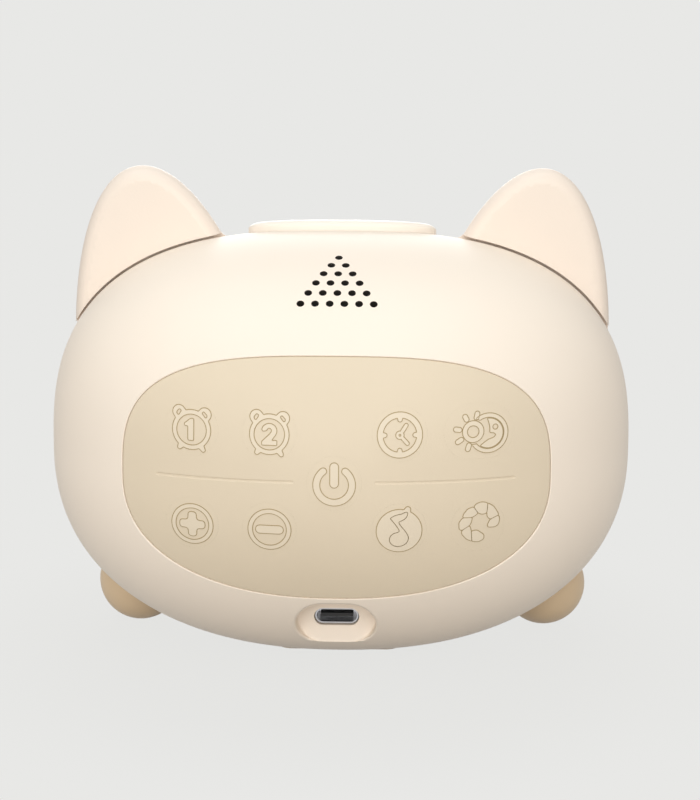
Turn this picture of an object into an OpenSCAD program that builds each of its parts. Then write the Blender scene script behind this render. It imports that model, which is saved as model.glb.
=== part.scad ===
// Kids' alarm clock with a night light: a plump two-part shell with two ears, a soft keypad set
// into the back, a speaker grille, a charging socket and a snooze button on the crown.
// Frame: millimetres, +Z up, the controls face -Y and the display faces +Y, and the origin is on
// the table at the middle of the belly pad.

/* [Body] */
// Overall width of the body
body_w = 122; // [114:1:132]
// Depth of the rear dome behind the widest section
rear_depth = 42.2; // [40:0.2:46]
// Depth of the front dome ahead of its own rim
front_depth = 29.6; // [28:0.2:33]
// Height of the crown above the widest level
crown_h = 45.6; // [44:0.2:49]
// Height of the belly below the widest level, before it is flattened
belly_h = 43.9; // [42:0.2:47]
// Fullness of the outline above the widest level, where 2 is an ellipse
upper_curve = 2.69; // [2.5:0.01:2.9]
// Fullness of the outline below the widest level
lower_curve = 2.26; // [2.15:0.01:2.5]
// Wall of both shells
wall = 2.4; // [2.2:0.1:2.8]
// Width of the gap that shows between the two shells
reveal = 0.35; // [0.25:0.05:0.5]
// How far the front rim is set in behind the rear rim
rim_inset = 0.35; // [0.2:0.05:0.5]
// How much of the belly is flattened where the clock stands
belly_flat = 1.2; // [0.9:0.1:1.5]
// How far the front shell's tongue reaches into the rear shell
lip_reach = 2.2; // [1.6:0.1:3]
// Thickness of that tongue
lip_t = 1.3; // [1:0.1:1.6]

/* [Ears] */
// Half width of the ear's oval
ear_half_w = 21.9; // [20:0.1:24]
// Half height of the ear's oval
ear_half_h = 60.8; // [57:0.2:64]
// Distance of the ear's oval from the middle plane
ear_x = 32.7; // [31:0.1:34]
// Outward lean of the ear in degrees
ear_lean = 10.2; // [8:0.1:12]
// Thickness of the ear, front to back
ear_t = 15; // [13:0.5:17]
// Rounding of the ear's back edge
ear_round = 3; // [2:0.1:3.4]
// Wall of the hollow ear
ear_wall = 2.2; // [1.8:0.1:2.6]

/* [Keypad] */
// Half width of the soft keypad
pad_half_w = 43; // [42:0.5:45]
// Keypad edge above the widest level
pad_up = 25.2; // [24.5:0.1:26.5]
// Keypad edge below the widest level
pad_down = 24.2; // [23.5:0.1:25.5]
// Depth of the recess that holds the keypad
pad_recess = 1.6; // [1.4:0.1:2]
// How far the keypad's face lies below the shell around it
pad_sink = 0.2; // [0.1:0.05:0.3]
// Shell left behind the keypad
pad_backing = 2; // [1.8:0.1:2.4]
// Diameter of a round key
key_d = 10.8; // [10:0.1:11.6]
// Width of the long sun and moon key
long_key_w = 14; // [13:0.1:15]
// Gap round each key
key_gap = 0.15; // [0.12:0.01:0.2]
// Thickness of a key's cap
key_t = 0.8; // [0.7:0.05:0.9]
// Diameter of a key's post
key_post_d = 4; // [3.6:0.1:4.4]
// How far a key travels
key_travel = 0.4; // [0.3:0.05:0.5]
// Outer column of keys from the middle
key_col_out = 28.4; // [27.5:0.1:29]
// Inner column of keys from the middle
key_col_in = 12.8; // [12:0.1:13.6]
// Upper row of keys above the widest level
key_row_up = 10.8; // [10:0.1:11.4]
// Lower row of keys below the widest level
key_row_down = 8.4; // [8:0.1:9]
// Height of the power key above the widest level
power_key_z = 1.2; // [0.8:0.1:1.6]

/* [Snooze button] */
// Length of the snooze button
button_w = 39.8; // [37:0.2:42]
// Width of the snooze button, front to back
button_t = 15; // [14:0.2:16]
// Place of the button's middle ahead of the widest section
button_y = 7.2; // [7:0.1:7.8]
// How far the button stands above the crown
button_proud = 2.3; // [2:0.1:2.6]
// Gap round the button
button_gap = 0.25; // [0.2:0.05:0.35]
// How far the button travels
button_travel = 0.8; // [0.6:0.1:1]
// Depth of the button's skirt below the crown
skirt_drop = 9; // [8.5:0.1:10]

/* [Speaker] */
// Rows in the speaker's triangle of holes
grille_rows = 6; // [4:1:6]
// Diameter of a speaker hole
grille_hole_d = 1.55; // [1.2:0.05:1.8]
// Spacing of the holes along a row
grille_pitch = 2.92; // [2.6:0.01:3.1]
// Spacing of the rows along the dome
grille_row_pitch = 2.7; // [2.4:0.05:2.8]
// Angle of the lowest row above the level, seen from the side
grille_low_angle = 49.2; // [48:0.1:51]
// Diameter of the speaker
speaker_d = 20; // [19:0.5:21]
// Depth of the speaker behind its rim
speaker_h = 6; // [5:0.5:7]
// How far the speaker's rim lies inside the dome's surface
speaker_set_back = 5.6; // [5.2:0.1:6.4]
// Wall left over the speaker's cloth, measured level
grille_wall = 1.7; // [1.5:0.1:2]

/* [Charging socket] */
// Width of the pocket round the socket
pocket_w = 16.4; // [15:0.1:18]
// Height of that pocket
pocket_h = 11.4; // [10.5:0.1:12]
// Level of the pocket's middle below the widest level
pocket_down = 31.5; // [31:0.1:32]
// Distance of the pocket's floor behind the widest section
pocket_floor = 22.5; // [22:0.1:23.5]
// Wall of the pocket
pocket_wall = 1.8; // [1.5:0.1:2.2]
// Level of the socket's middle below the widest level
socket_down = 31.7; // [31.4:0.1:32]
// Width of the socket's shell
socket_w = 8.94; // [8.6:0.01:9.2]
// Height of the socket's shell
socket_h = 3.26; // [3.1:0.01:3.4]
// Length of the socket's shell
socket_l = 7.3; // [6.8:0.1:9]
// Gap between the socket and its hole
socket_gap = 0.18; // [0.12:0.01:0.25]
// How far the socket's mouth lies behind the pocket's floor
socket_sink = 0.9; // [0.6:0.1:1.2]

/* [Face] */
// Half width of the opal face
lens_half_w = 35; // [33:0.5:36]
// Face edge above the widest level
lens_up = 22; // [21:0.2:23]
// Face edge below the widest level
lens_down = 21; // [20:0.2:22]
// Thickness of the opal face
lens_t = 1.2; // [1:0.1:1.4]
// Share of the face that the opening behind it leaves free
lens_clear = 0.94; // [0.92:0.01:0.96]
// Height of a digit
digit_h = 14; // [12:0.5:15]
// Width of a digit
digit_w = 8; // [7:0.25:9]
// Spacing of the digits
digit_pitch = 11.2; // [10.5:0.1:12]
// Width of a segment
segment_w = 1.5; // [1.2:0.1:1.8]

/* [Feet] */
// Radius of a ball foot
foot_r = 9.1; // [8.6:0.1:9.6]
// Distance of a foot's middle in from the body's side
foot_in = 16.6; // [16:0.1:18]
// Place of the feet ahead of the widest section
foot_y = 13; // [11:0.2:14]
// How much of the ball is flattened where it stands
foot_flat = 0.15; // [0.1:0.05:0.3]
// How far the feet and the belly pad stand below the shell
pad_proud = 0.3; // [0.2:0.05:0.4]
// Length of the belly pad
belly_pad_w = 26; // [22:1:30]
// Width of the belly pad
belly_pad_t = 6.6; // [6:0.1:7]

/* [Boards] */
// Thickness of every circuit board
board_t = 1.6; // [1.2:0.1:1.8]
// Distance of the key board behind the widest section
key_board_back = 27.5; // [27:0.1:28]
// Height of a push switch's body
switch_h = 3.5; // [3.2:0.1:3.8]
// Height of a push switch's plunger
plunger_h = 1.5; // [1.2:0.1:1.8]
// Free play left between a key and its switch at full travel
switch_play = 0.05; // [0.03:0.01:0.1]
// Place of the light board ahead of the widest section
light_board_y = 15.5; // [15:0.1:16]
// Level of the snooze board above the widest level
top_board_z = 29.5; // [29:0.1:30.2]
// Length, height and thickness of the battery
battery_size = [50, 34, 8];
// Distance of the case screws from the middle plane
case_screw_x = 35.8; // [35.4:0.1:36.2]
// Level of the upper case screws
case_screw_up = 14.5; // [14.2:0.1:15]
// Level of the lower case screws below the widest level
case_screw_down = 12.5; // [12.2:0.1:13]

/* [Hidden] */
$fn = 48;
steps = 48; // points round every shell ring
ear_steps = 30;
belly_pad_y = -6.2;
far = 90; // longer than any cut
pick = 0.01; // lets a cut start clear of a face

centre_z = belly_h - belly_flat; // the widest level above the table
ground = -centre_z;
belly_plane = ground + pad_proud;
rim_y = 1; // the rear shell's rim
front_y = rim_y + reveal; // the front shell's rim
lip_gap = 0.15;

// An oval is [half width, up, down, upper fullness, lower fullness, depth of its dome].
function grow(o, d, dy) = [o[0] + d, o[1] + d, o[2] + d, o[3], o[4], o[5] + dy];
rear_out = [body_w / 2, crown_h, belly_h, upper_curve, lower_curve, rear_depth];
rear_in = grow(rear_out, -wall, -pad_recess - pad_backing);
rear_mid = grow(rear_out, -wall / 2, -pad_recess - pad_backing / 2);
front_out = [body_w / 2 - rim_inset, crown_h - rim_inset, belly_h - rim_inset, upper_curve,
             lower_curve, front_depth];
front_in = grow(front_out, -wall, -wall);
front_mid = grow(front_out, -wall / 2, -wall / 2);
lip_out = grow(rear_in, -lip_gap, 0);
lip_in = grow(lip_out, -lip_t, 0);
pad_oval = [pad_half_w, pad_up, pad_down, 3, 2.35, 0];
lens_oval = [lens_half_w, lens_up, lens_down, 2.6, 2.6, 0];

function fullness(o, v) = v >= 0 ? o[3] : o[4];
function height(o, v) = v >= 0 ? o[1] : o[2];
// Share of the way from an oval's middle to its edge
function share(o, x, z) = let (m = fullness(o, z))
    pow(pow(abs(x) / o[0], m) + pow(abs(z) / height(o, z), m), 1 / m);
function bulge(o, x, z) = o[5] * sqrt(max(0, 1 - pow(share(o, x, z), 2)));
function edge_at(o, t) = let (m = fullness(o, sin(t)))
    [cos(t), sin(t)] / pow(pow(abs(cos(t)) / o[0], m) + pow(abs(sin(t)) / height(o, sin(t)), m), 1 / m);
function edge(o, k = 1, n = steps) = [for (i = [0:n - 1]) k * edge_at(o, 360 * i / n)];
function between(a, b, e) = [for (i = [0:len(a) - 1]) (1 - e) * a[i] + e * b[i]];
function level(flat, y) = [for (p = flat) [p[0], y, p[1]]];
function on_rear(o, flat, d = 0) = [for (p = flat) [p[0], d - bulge(o, p[0], p[1]), p[1]]];
function on_front(o, flat, d = 0) = [for (p = flat) [p[0], front_y + bulge(o, p[0], p[1]) - d, p[1]]];
// Level of the front dome's top over a point of the table
function crown(o, x, y) = let (k = sqrt(1 - pow(max(0, y - front_y) / o[5], 2)))
    o[1] * pow(max(0, pow(k, o[3]) - pow(abs(x) / o[0], o[3])), 1 / o[3]);
// Outward normal of the front dome's family of surfaces
function front_normal(o, p) = let (
        m = fullness(o, p[2]), h = height(o, p[2]), r = share(o, p[0], p[2]),
        g = [pow(r, 2 - m) * sign(p[0]) * pow(abs(p[0]) / o[0], m - 1) / o[0],
             (p[1] - front_y) / pow(o[5], 2),
             pow(r, 2 - m) * sign(p[2]) * pow(abs(p[2]) / h, m - 1) / h])
    g / norm(g);
function front_side(o, p) = pow(share(o, p[0], p[2]), 2) + pow((p[1] - front_y) / o[5], 2) - 1;
// How far back along a line from outside the front dome's surface lies
function reach(o, p, d, lo, hi, n = 16) = let (mid = (lo + hi) / 2)
    n == 0 ? mid
    : front_side(o, p - mid * d) > 0 ? reach(o, p, d, mid, hi, n - 1) : reach(o, p, d, lo, mid, n - 1);

floor_shares = [for (i = [1:6]) i / 6];
outer_shares = [0.2, 0.4, 0.58, 0.74, 0.86, 0.94, 0.985, 1];
inner_shares = [0.96, 0.87, 0.74, 0.56, 0.36, 0.16];

// One closed solid through rings of equal length, closed at both ends by a fan, or into a loop
module skin(rings, first = undef, last = undef, loop = false, flip = false) {
    n = len(rings[0]);
    m = len(rings);
    pairs = loop ? m : m - 1;
    points = concat([for (r = rings) each r], loop ? [] : [first, last]);
    sides = [for (j = [0:pairs - 1], i = [0:n - 1])
        let (a = j * n, b = ((j + 1) % m) * n, k = (i + 1) % n)
        each [[a + i, b + i, a + k], [a + k, b + i, b + k]]];
    ends = loop ? [] : [for (i = [0:n - 1]) let (k = (i + 1) % n)
        each [[m * n, i, k], [m * n + 1, (m - 1) * n + k, (m - 1) * n + i]]];
    faces = [for (f = concat(sides, ends)) flip ? f : [f[0], f[2], f[1]]];
    polyhedron(points = points, faces = faces);
}

// A small block whose face and back follow the rear dome
module dome_block(cx, cz, half_x, half_z, d0, d1, n = 3) {
    function grid(d) = [for (j = [0:n], i = [0:n])
        let (x = cx + half_x * (2 * i / n - 1), z = cz + half_z * (2 * j / n - 1))
        [x, d - bulge(rear_out, x, z), z]];
    s = (n + 1) * (n + 1);
    function at(i, j) = j * (n + 1) + i;
    face = [for (i = [0:n - 1], j = [0:n - 1])
        each [[at(i, j), at(i, j + 1), at(i + 1, j)], [at(i + 1, j), at(i, j + 1), at(i + 1, j + 1)]]];
    back = [for (f = face) [f[0] + s, f[2] + s, f[1] + s]];
    walls = [for (i = [0:n - 1])
        each [[at(i, 0), at(i + 1, 0), at(i + 1, 0) + s], [at(i, 0), at(i + 1, 0) + s, at(i, 0) + s],
              [at(i, n), at(i + 1, n) + s, at(i + 1, n)], [at(i, n), at(i, n) + s, at(i + 1, n) + s],
              [at(0, i), at(0, i + 1) + s, at(0, i + 1)], [at(0, i), at(0, i) + s, at(0, i + 1) + s],
              [at(n, i), at(n, i + 1), at(n, i + 1) + s], [at(n, i), at(n, i + 1) + s, at(n, i) + s]]];
    polyhedron(points = concat(grid(d0), grid(d1)), faces = concat(face, back, walls));
}

// A round wire that follows a list of points
module wire(path, r, n = 8) {
    last = len(path) - 1;
    function run(i) = let (v = path[min(i + 1, last)] - path[max(i - 1, 0)]) v / norm(v);
    function ring(i) = let (t = run(i), s = cross(t, [0.3, 0.95, 0.1]), u = s / norm(s), w = cross(t, u))
        [for (k = [0:n - 1]) path[i] + r * (cos(360 * k / n) * u + sin(360 * k / n) * w)];
    skin([for (i = [0:last]) ring(i)], first = path[0], last = path[last], flip = true);
}

module placed() translate([0, -belly_pad_y, centre_z]) children();
module along_y() rotate([-90, 0, 0]) children();
// A bar along Y from y0 to y1 at a place of the XZ plane
module bar(x, z, d, y0, y1) translate([x, y0, z]) along_y() cylinder(d = d, h = y1 - y0);
module facing(v) rotate([0, acos(v[2] / norm(v)), atan2(v[1], v[0])]) children();
module block(x0, x1, y0, y1, z0, z1) translate([x0, y0, z0]) cube([x1 - x0, y1 - y0, z1 - z0]);
// An upright stadium, extruded along Y
module slot(w, h, y0, y1, z = 0) translate([0, y1, z]) rotate([90, 0, 0]) linear_extrude(y1 - y0)
    union() {
        square([w - h, h], center = true);
        for (s = [-1, 1]) translate([s * (w - h) / 2, 0]) circle(d = h);
    }

// Solids that fill a dome to the middle of its wall, to trim what roots in the wall
module rear_fill() skin(
    concat([for (k = [0.3, 0.55, 0.75, 0.9, 0.975, 1]) on_rear(rear_mid, edge(rear_mid, k))],
           [level(edge(rear_mid), far / 10)]),
    first = [0, -rear_mid[5], 0], last = [0, far / 10, 0]);
module front_fill() skin(
    concat([for (k = [0.3, 0.55, 0.75, 0.9, 0.975, 1]) on_front(front_mid, edge(front_mid, k))],
           [level(edge(front_mid), -far / 10)]),
    first = [0, front_y + front_mid[5], 0], last = [0, -far / 10, 0], flip = true);

// ---- keys ----
switch_tip_y = -key_board_back - switch_h - plunger_h;
post_tip_y = switch_tip_y - key_travel - switch_play;
post_hole_gap = 0.4;
// Each key is [name, x, z, width].
KEYS = [["alarm1", -key_col_out, key_row_up, key_d], ["alarm2", -key_col_in, key_row_up, key_d],
        ["time", key_col_in, key_row_up, key_d], ["sun_moon", key_col_out, key_row_up, long_key_w],
        ["power", 0, power_key_z, key_d], ["plus", -key_col_out, -key_row_down, key_d],
        ["minus", -key_col_in, -key_row_down, key_d], ["sound", key_col_in, -key_row_down, key_d],
        ["light", key_col_out, -key_row_down, key_d]];

module key_prism(k, grow_by, y0, y1) translate([k[1], 0, k[2]])
    slot(k[3] + 2 * grow_by + pick, key_d + 2 * grow_by, y0, y1);
module round_prism(k, grow_by, y0, y1) bar(k[1], k[2], key_d + 2 * grow_by, y0, y1);
module key_outline(k, grow_by = 0, y0 = -far, y1 = 0) {
    if (k[3] > key_d) key_prism(k, grow_by, y0, y1);
    else round_prism(k, grow_by, y0, y1);
}

module key(k) placed() color("#e3d6b6") union() {
    intersection() {
        dome_block(k[1], k[2], k[3] / 2 + 1, key_d / 2 + 1, pad_sink, pad_sink + key_t);
        key_outline(k);
    }
    bar(k[1], k[2], key_post_d, pad_sink + key_t / 2 - bulge(rear_out, k[1], k[2]), post_tip_y);
}
module key_alarm1() key(KEYS[0]);
module key_alarm2() key(KEYS[1]);
module key_time() key(KEYS[2]);
module key_sun_moon() key(KEYS[3]);
module key_power() key(KEYS[4]);
module key_plus() key(KEYS[5]);
module key_minus() key(KEYS[6]);
module key_sound() key(KEYS[7]);
module key_light() key(KEYS[8]);

pad_edge = edge(pad_oval);
module keypad_mat() placed() color("#e8dcc0") difference() {
    skin(concat([for (k = floor_shares) on_rear(rear_out, k * pad_edge, pad_recess)],
                [for (i = [5:-1:0]) on_rear(rear_out, floor_shares[i] * pad_edge, pad_sink)]),
         first = [0, pad_recess - rear_depth, 0], last = [0, pad_sink - rear_depth, 0], flip = true);
    for (k = KEYS) key_outline(k, key_gap);
}

// ---- rear shell ----
CASE_SCREWS = [for (s = [-1, 1], z = [case_screw_up, -case_screw_down]) [s * case_screw_x, z]];
case_boss_d = 6.8;
well_d = 5;
well_floor_y = -7;
case_screw_d = 2.2;
case_head_d = 4.6;
case_head_h = 1.8;
case_screw_l = 15;

board_screw_x = (key_col_in + key_col_out) / 2;
BOARD_SCREWS = [[-board_screw_x, power_key_z], [board_screw_x, power_key_z], [0, key_row_up + 1.6],
                [0, -key_row_down - 2]];
board_boss_d = 4.8;
board_screw_d = 1.6;
board_head_d = 3.4;
board_head_h = 1.2;
board_screw_l = 5;
screw_play = 0.1; // on the diameter of a screw's hole

// The speaker looks out along the dome's normal at the middle of its grille.
row_angle = grille_row_pitch / rear_depth * 180 / PI;
function row_at(r) = grille_low_angle + (grille_rows - 1 - r) * row_angle;
function rear_point(a) = [0, -rear_depth * cos(a), crown_h * sin(a)];
function rear_normal(a) = let (v = [0, -cos(a) / rear_depth, sin(a) / crown_h]) v / norm(v);
speaker_angle = row_at((grille_rows - 1) / 2) - 1;
speaker_axis = rear_normal(speaker_angle);
speaker_front = rear_point(speaker_angle) - speaker_set_back * speaker_axis;
speaker_seat_t = 1.6;
speaker_play = 0.3;
module at_speaker() translate(speaker_front) facing(speaker_axis) children();
// What lies under the grille between two depths, across a width
module under_grille(d0, d1, width) intersection() {
    dome_block(0, rear_point(speaker_angle)[2], speaker_d / 2 + 1, speaker_d / 2 - 1, d0, d1, 8);
    at_speaker() cylinder(d = width, h = far / 4, center = true);
}

// The main board carries the socket on its underside.
socket_z = -socket_down;
main_board_z = socket_z + socket_h / 2;
main_board_w = body_w / 2 - 36;
main_board = [-main_board_w, main_board_w, 2.1 - pocket_floor, 13];
MAIN_SCREWS = [for (s = [-1, 1], y = [-13, -3]) [s * (main_board_w - 6), y]];

belly_pad_h = 1.3;
belly_floor_t = 2.6;

module belly_slot(w, t, z0, z1) translate([0, belly_pad_y, z0]) linear_extrude(z1 - z0)
    union() {
        square([w - t, t], center = true);
        for (s = [-1, 1]) translate([s * (w - t) / 2, 0]) circle(d = t);
    }

button_plan = [button_w / 2, button_t / 2, button_t / 2, 3, 3, 0];
function plan(o, k = 1, n = 32) = [for (i = [0:n - 1]) k * edge_at(o, 360 * i / n) + [0, button_y]];
module button_hole() translate([0, 0, crown_h / 2]) linear_extrude(far)
    polygon(plan(grow(button_plan, button_gap, 0)));

module rear_roots() intersection() {
    union() {
        for (p = CASE_SCREWS) bar(p[0], p[1], case_boss_d, -far, rim_y);
        for (p = BOARD_SCREWS) bar(p[0], p[1], board_boss_d, -far, -key_board_back);
        at_speaker() difference() {
            translate([0, 0, -speaker_h * 0.6])
                cylinder(d = speaker_d + 2 * (speaker_play + speaker_seat_t), h = far / 3);
            translate([0, 0, -speaker_h])
                cylinder(d = speaker_d + 2 * speaker_play, h = speaker_h);
            cylinder(d = speaker_d - 2, h = far);
        }
        slot(pocket_w + 2 * pocket_wall, pocket_h + 2 * pocket_wall, -far, pocket_wall - pocket_floor,
             -pocket_down);
        for (p = MAIN_SCREWS) translate([p[0], p[1], -far])
            cylinder(d = board_boss_d, h = far + main_board_z);
        block(-22, 22, -16, -1.6, -far, belly_plane + belly_floor_t);
    }
    rear_fill();
}

module rear_shell() placed() color("#fbf3e4") difference() {
    union() {
        skin(concat([for (k = floor_shares) on_rear(rear_out, k * pad_edge, pad_recess)],
                    [on_rear(rear_out, pad_edge)],
                    [for (e = outer_shares) on_rear(rear_out, between(pad_edge, edge(rear_out), e))],
                    [level(edge(rear_out), rim_y), level(edge(rear_in), rim_y), level(edge(rear_in), 0)],
                    [for (k = inner_shares) on_rear(rear_in, edge(rear_in, k))]),
             first = [0, pad_recess - rear_depth, 0], last = [0, -rear_in[5], 0]);
        rear_roots();
    }
    for (k = KEYS) bar(k[1], k[2], key_post_d + 2 * post_hole_gap, -far, -key_board_back);
    for (p = CASE_SCREWS) {
        bar(p[0], p[1], well_d, -far, well_floor_y);
        bar(p[0], p[1], case_screw_d + 0.5, well_floor_y - pick, rim_y + pick);
    }
    for (p = BOARD_SCREWS) bar(p[0], p[1], board_screw_d + screw_play, -key_board_back - board_screw_l, 0);
    for (p = MAIN_SCREWS) translate([p[0], p[1], main_board_z - board_screw_l])
        cylinder(d = board_screw_d + screw_play, h = board_screw_l + 1);
    for (r = [0:grille_rows - 1], i = [0:r])
        translate(rear_point(row_at(r)) + [(i - r / 2) * grille_pitch, 0, 0])
            facing(rear_normal(row_at(r)))
                cylinder(d = grille_hole_d, h = 2 * speaker_set_back, center = true);
    under_grille(grille_wall, far / 4, speaker_d - 2);
    slot(pocket_w, pocket_h, -far, -pocket_floor, -pocket_down);
    slot(socket_w + 2 * socket_gap, socket_h + 2 * socket_gap, -pocket_floor - pick, 0, socket_z);
    button_hole();
    block(-far, far, -far, far, -far, belly_plane);
    belly_slot(belly_pad_w, belly_pad_t, -far, ground + belly_pad_h);
}

module belly_pad() placed() color("#cbb894")
    belly_slot(belly_pad_w, belly_pad_t, ground, ground + belly_pad_h);

// ---- front shell ----
// The ear's oval, set in by d, and closed by a chord that lies inside the body
function ear_edge(d) = [for (i = [0:ear_steps - 1])
    let (t = -12 + 204 * i / (ear_steps - 1), u = (ear_half_w - d) * cos(t), v = (ear_half_h - d) * sin(t))
    [ear_x + u * cos(ear_lean) + v * sin(ear_lean), -1.3 - u * sin(ear_lean) + v * cos(ear_lean)]];
// Each step of the ear is [share of the thickness, set in].
module ear_body(profile, y0) skin(
    [for (p = profile) level(ear_edge(p[1]), y0 + p[0])],
    first = [ear_x, y0 + profile[0][0], -1.3],
    last = [ear_x, y0 + profile[len(profile) - 1][0], -1.3]);
ear_profile = [[0, ear_round], [0.3 * ear_round, 0.3 * ear_round], [ear_round, 0],
               [0.42 * ear_t, 0.6], [0.65 * ear_t, 2.6], [0.84 * ear_t, 6.2], [0.96 * ear_t, 11.5],
               [ear_t, 16]];
ear_hollow = [[ear_wall, ear_round + 1.2], [ear_wall + 2, ear_wall], [0.45 * ear_t, ear_wall + 0.8],
              [0.68 * ear_t, ear_wall + 3.6], [ear_t - ear_wall - 0.2, ear_wall + 10]];
module ears(profile) for (s = [0, 1]) mirror([s, 0, 0]) ear_body(profile, front_y);

top_screw_x = button_w / 2 + 4.1;
TOP_SCREWS = [[-top_screw_x, button_y + 0.8], [top_screw_x, button_y + 0.8]];
top_boss_d = 4.6;
light_screw_up = crown_h - 18.6;
light_screw_down = belly_h - 17.9;
light_screw_x = body_w / 2 - 20;
LIGHT_SCREWS = [[0, light_screw_up], [0, -light_screw_down], [-light_screw_x, 0], [light_screw_x, 0]];

foot_x = body_w / 2 - foot_in;
foot_middle = [foot_x, foot_y, ground + foot_r - foot_flat];
foot_axis = front_normal(front_out, foot_middle);
foot_seat = reach(front_out, foot_middle, foot_axis, 0, foot_r);
foot_head_seat = foot_seat + wall + 1.6;
foot_boss_d = 7;
foot_screw_d = 2.6;
foot_screw_l = 9;
module at_foot(s) mirror([s, 0, 0]) translate(foot_middle) facing(-foot_axis) children();

module front_roots() intersection() {
    union() {
        for (p = CASE_SCREWS) bar(p[0], p[1], case_boss_d, rim_y, far);
        for (p = LIGHT_SCREWS) bar(p[0], p[1], board_boss_d, light_board_y + board_t, far);
        for (p = TOP_SCREWS) translate([p[0], p[1], top_board_z + board_t])
            cylinder(d = top_boss_d, h = far);
        for (s = [0, 1]) at_foot(s) cylinder(d = foot_boss_d, h = foot_head_seat);
        block(-20, 20, front_y, 12, -far, belly_plane + belly_floor_t);
    }
    front_fill();
}

lens_edge = edge(lens_oval);
front_rings = [for (e = concat([0], outer_shares))
    on_front(front_out, between(lens_edge, edge(front_out), e))];
module front_shell() placed() color("#fbe9d8") difference() {
    union() {
        difference() {
            union() {
                skin(concat([on_front(front_out, lens_clear * lens_edge, lens_t),
                             on_front(front_out, lens_edge, lens_t)], front_rings,
                            [level(edge(lip_out), front_y), level(edge(lip_out), rim_y - lip_reach),
                             level(edge(lip_in), rim_y - lip_reach), level(edge(lip_in), front_y + 1.5)],
                            [for (e = concat([0.94], [for (i = [6:-1:0]) 0.14 * i]))
                                on_front(front_in, between(lens_clear * lens_edge, edge(front_in), e))]),
                     loop = true, flip = true);
                difference() {
                    ears(ear_profile);
                    front_fill();
                }
            }
            ears(ear_hollow);
        }
        front_roots();
    }
    for (p = CASE_SCREWS) bar(p[0], p[1], case_screw_d + screw_play, 0, well_floor_y + case_screw_l + 1);
    for (p = LIGHT_SCREWS) bar(p[0], p[1], board_screw_d + screw_play, 0, light_board_y + board_screw_l);
    for (p = TOP_SCREWS) translate([p[0], p[1], 0])
        cylinder(d = board_screw_d + screw_play, h = top_board_z + board_screw_l);
    for (s = [0, 1]) at_foot(s) cylinder(d = foot_screw_d + 0.4, h = far / 4);
    button_hole();
    block(-button_w / 2 - 1, button_w / 2 + 1, -far, rim_y + reveal / 2, crown_h / 2, far);
    block(-far, far, -far, far, -far, belly_plane);
}

// Each foot is dished to sit on the front shell.
module foot(s) placed() color("#cfae82") difference() {
    mirror([s, 0, 0]) translate(foot_middle) sphere(r = foot_r);
    skin(front_rings, first = [0, front_y + front_depth / 2, 0], last = [0, front_y, 0], flip = true);
    at_foot(s) translate([0, 0, foot_head_seat - foot_screw_l - 0.6])
        cylinder(d = foot_screw_d + screw_play, h = far / 4);
    block(-far, far, -far, far, -far, ground);
}
module foot_right() foot(0);
module foot_left() foot(1);
module foot_screws() placed() color("#b9bcc0") for (s = [0, 1]) at_foot(s) {
    translate([0, 0, foot_head_seat - foot_screw_l]) cylinder(d = foot_screw_d, h = foot_screw_l);
    translate([0, 0, foot_head_seat]) cylinder(d = 5, h = 1.6);
}

// ---- snooze button ----
skirt_z = crown_h - skirt_drop;
top_switch_tip = top_board_z + board_t + switch_h + plunger_h;
button_post_z = top_switch_tip + button_travel + switch_play;
function on_crown(k, lift) = [for (p = plan(button_plan, k))
    [p[0], p[1], crown(front_out, p[0], p[1]) + lift]];
function at_level(k, z) = [for (p = plan(button_plan, k)) [p[0], p[1], z]];
module top_button() placed() color("#fcf0de") union() {
    skin([on_crown(0.45, button_proud), on_crown(0.8, button_proud), on_crown(0.93, button_proud - 0.12),
          on_crown(0.985, button_proud - 0.5), on_crown(1, button_proud - 1.1), at_level(1, skirt_z),
          at_level(0.9, skirt_z), on_crown(0.9, button_proud - 3), on_crown(0.5, button_proud - 2.4)],
         first = [0, button_y, crown(front_out, 0, button_y) + button_proud],
         last = [0, button_y, crown(front_out, 0, button_y) + button_proud - 2.4]);
    translate([0, button_y, button_post_z]) cylinder(d = key_post_d, h = crown_h - 2 - button_post_z);
    for (s = [-1, 1]) translate([s * (button_w / 2), button_y, skirt_z + 1]) cube([2, 7, 2], center = true);
}
module top_board() placed() color("#2f6b46") difference() {
    block(-top_screw_x - 3, top_screw_x + 3, button_y - 3.2, button_y + 4.8,
          top_board_z, top_board_z + board_t);
    for (p = TOP_SCREWS) translate([p[0], p[1], 0]) cylinder(d = board_screw_d + screw_play, h = far);
}
module push_switch() {
    translate([-3, -3, 0]) cube([6, 6, switch_h]);
    cylinder(d = 3.2, h = switch_h + plunger_h);
}
module top_board_screws() placed() color("#b9bcc0")
    for (p = TOP_SCREWS) translate([p[0], p[1], top_board_z + board_screw_l - 0.1])
        rotate([180, 0, 0]) screw(board_screw_d, board_screw_l - 0.1, board_head_d, board_head_h);
module snooze_switch() placed() color("#2b2b2e")
    translate([0, button_y, top_board_z + board_t]) push_switch();

// ---- key board ----
key_board_w = 2 * key_col_out + 6.2;
key_board_h = key_row_up + key_row_down + 8.8;
key_board_r = 4;
module key_board() placed() color("#2f6b46") difference() {
    translate([0, -key_board_back, (key_row_up - key_row_down) / 2]) along_y()
        linear_extrude(board_t) union() {
            square([key_board_w, key_board_h - 2 * key_board_r], center = true);
            square([key_board_w - 2 * key_board_r, key_board_h], center = true);
            for (x = [-1, 1], z = [-1, 1])
                translate([x * (key_board_w / 2 - key_board_r), z * (key_board_h / 2 - key_board_r)])
                    circle(r = key_board_r);
        }
    for (p = BOARD_SCREWS) bar(p[0], p[1], board_screw_d + screw_play, -far, 0);
}
module key_switches() placed() color("#2b2b2e")
    for (k = KEYS) translate([k[1], -key_board_back, k[2]]) rotate([90, 0, 0]) push_switch();
module screw(d, l, head_d, head_h) {
    cylinder(d = d, h = l);
    translate([0, 0, l]) cylinder(d = head_d, h = head_h);
}
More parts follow.
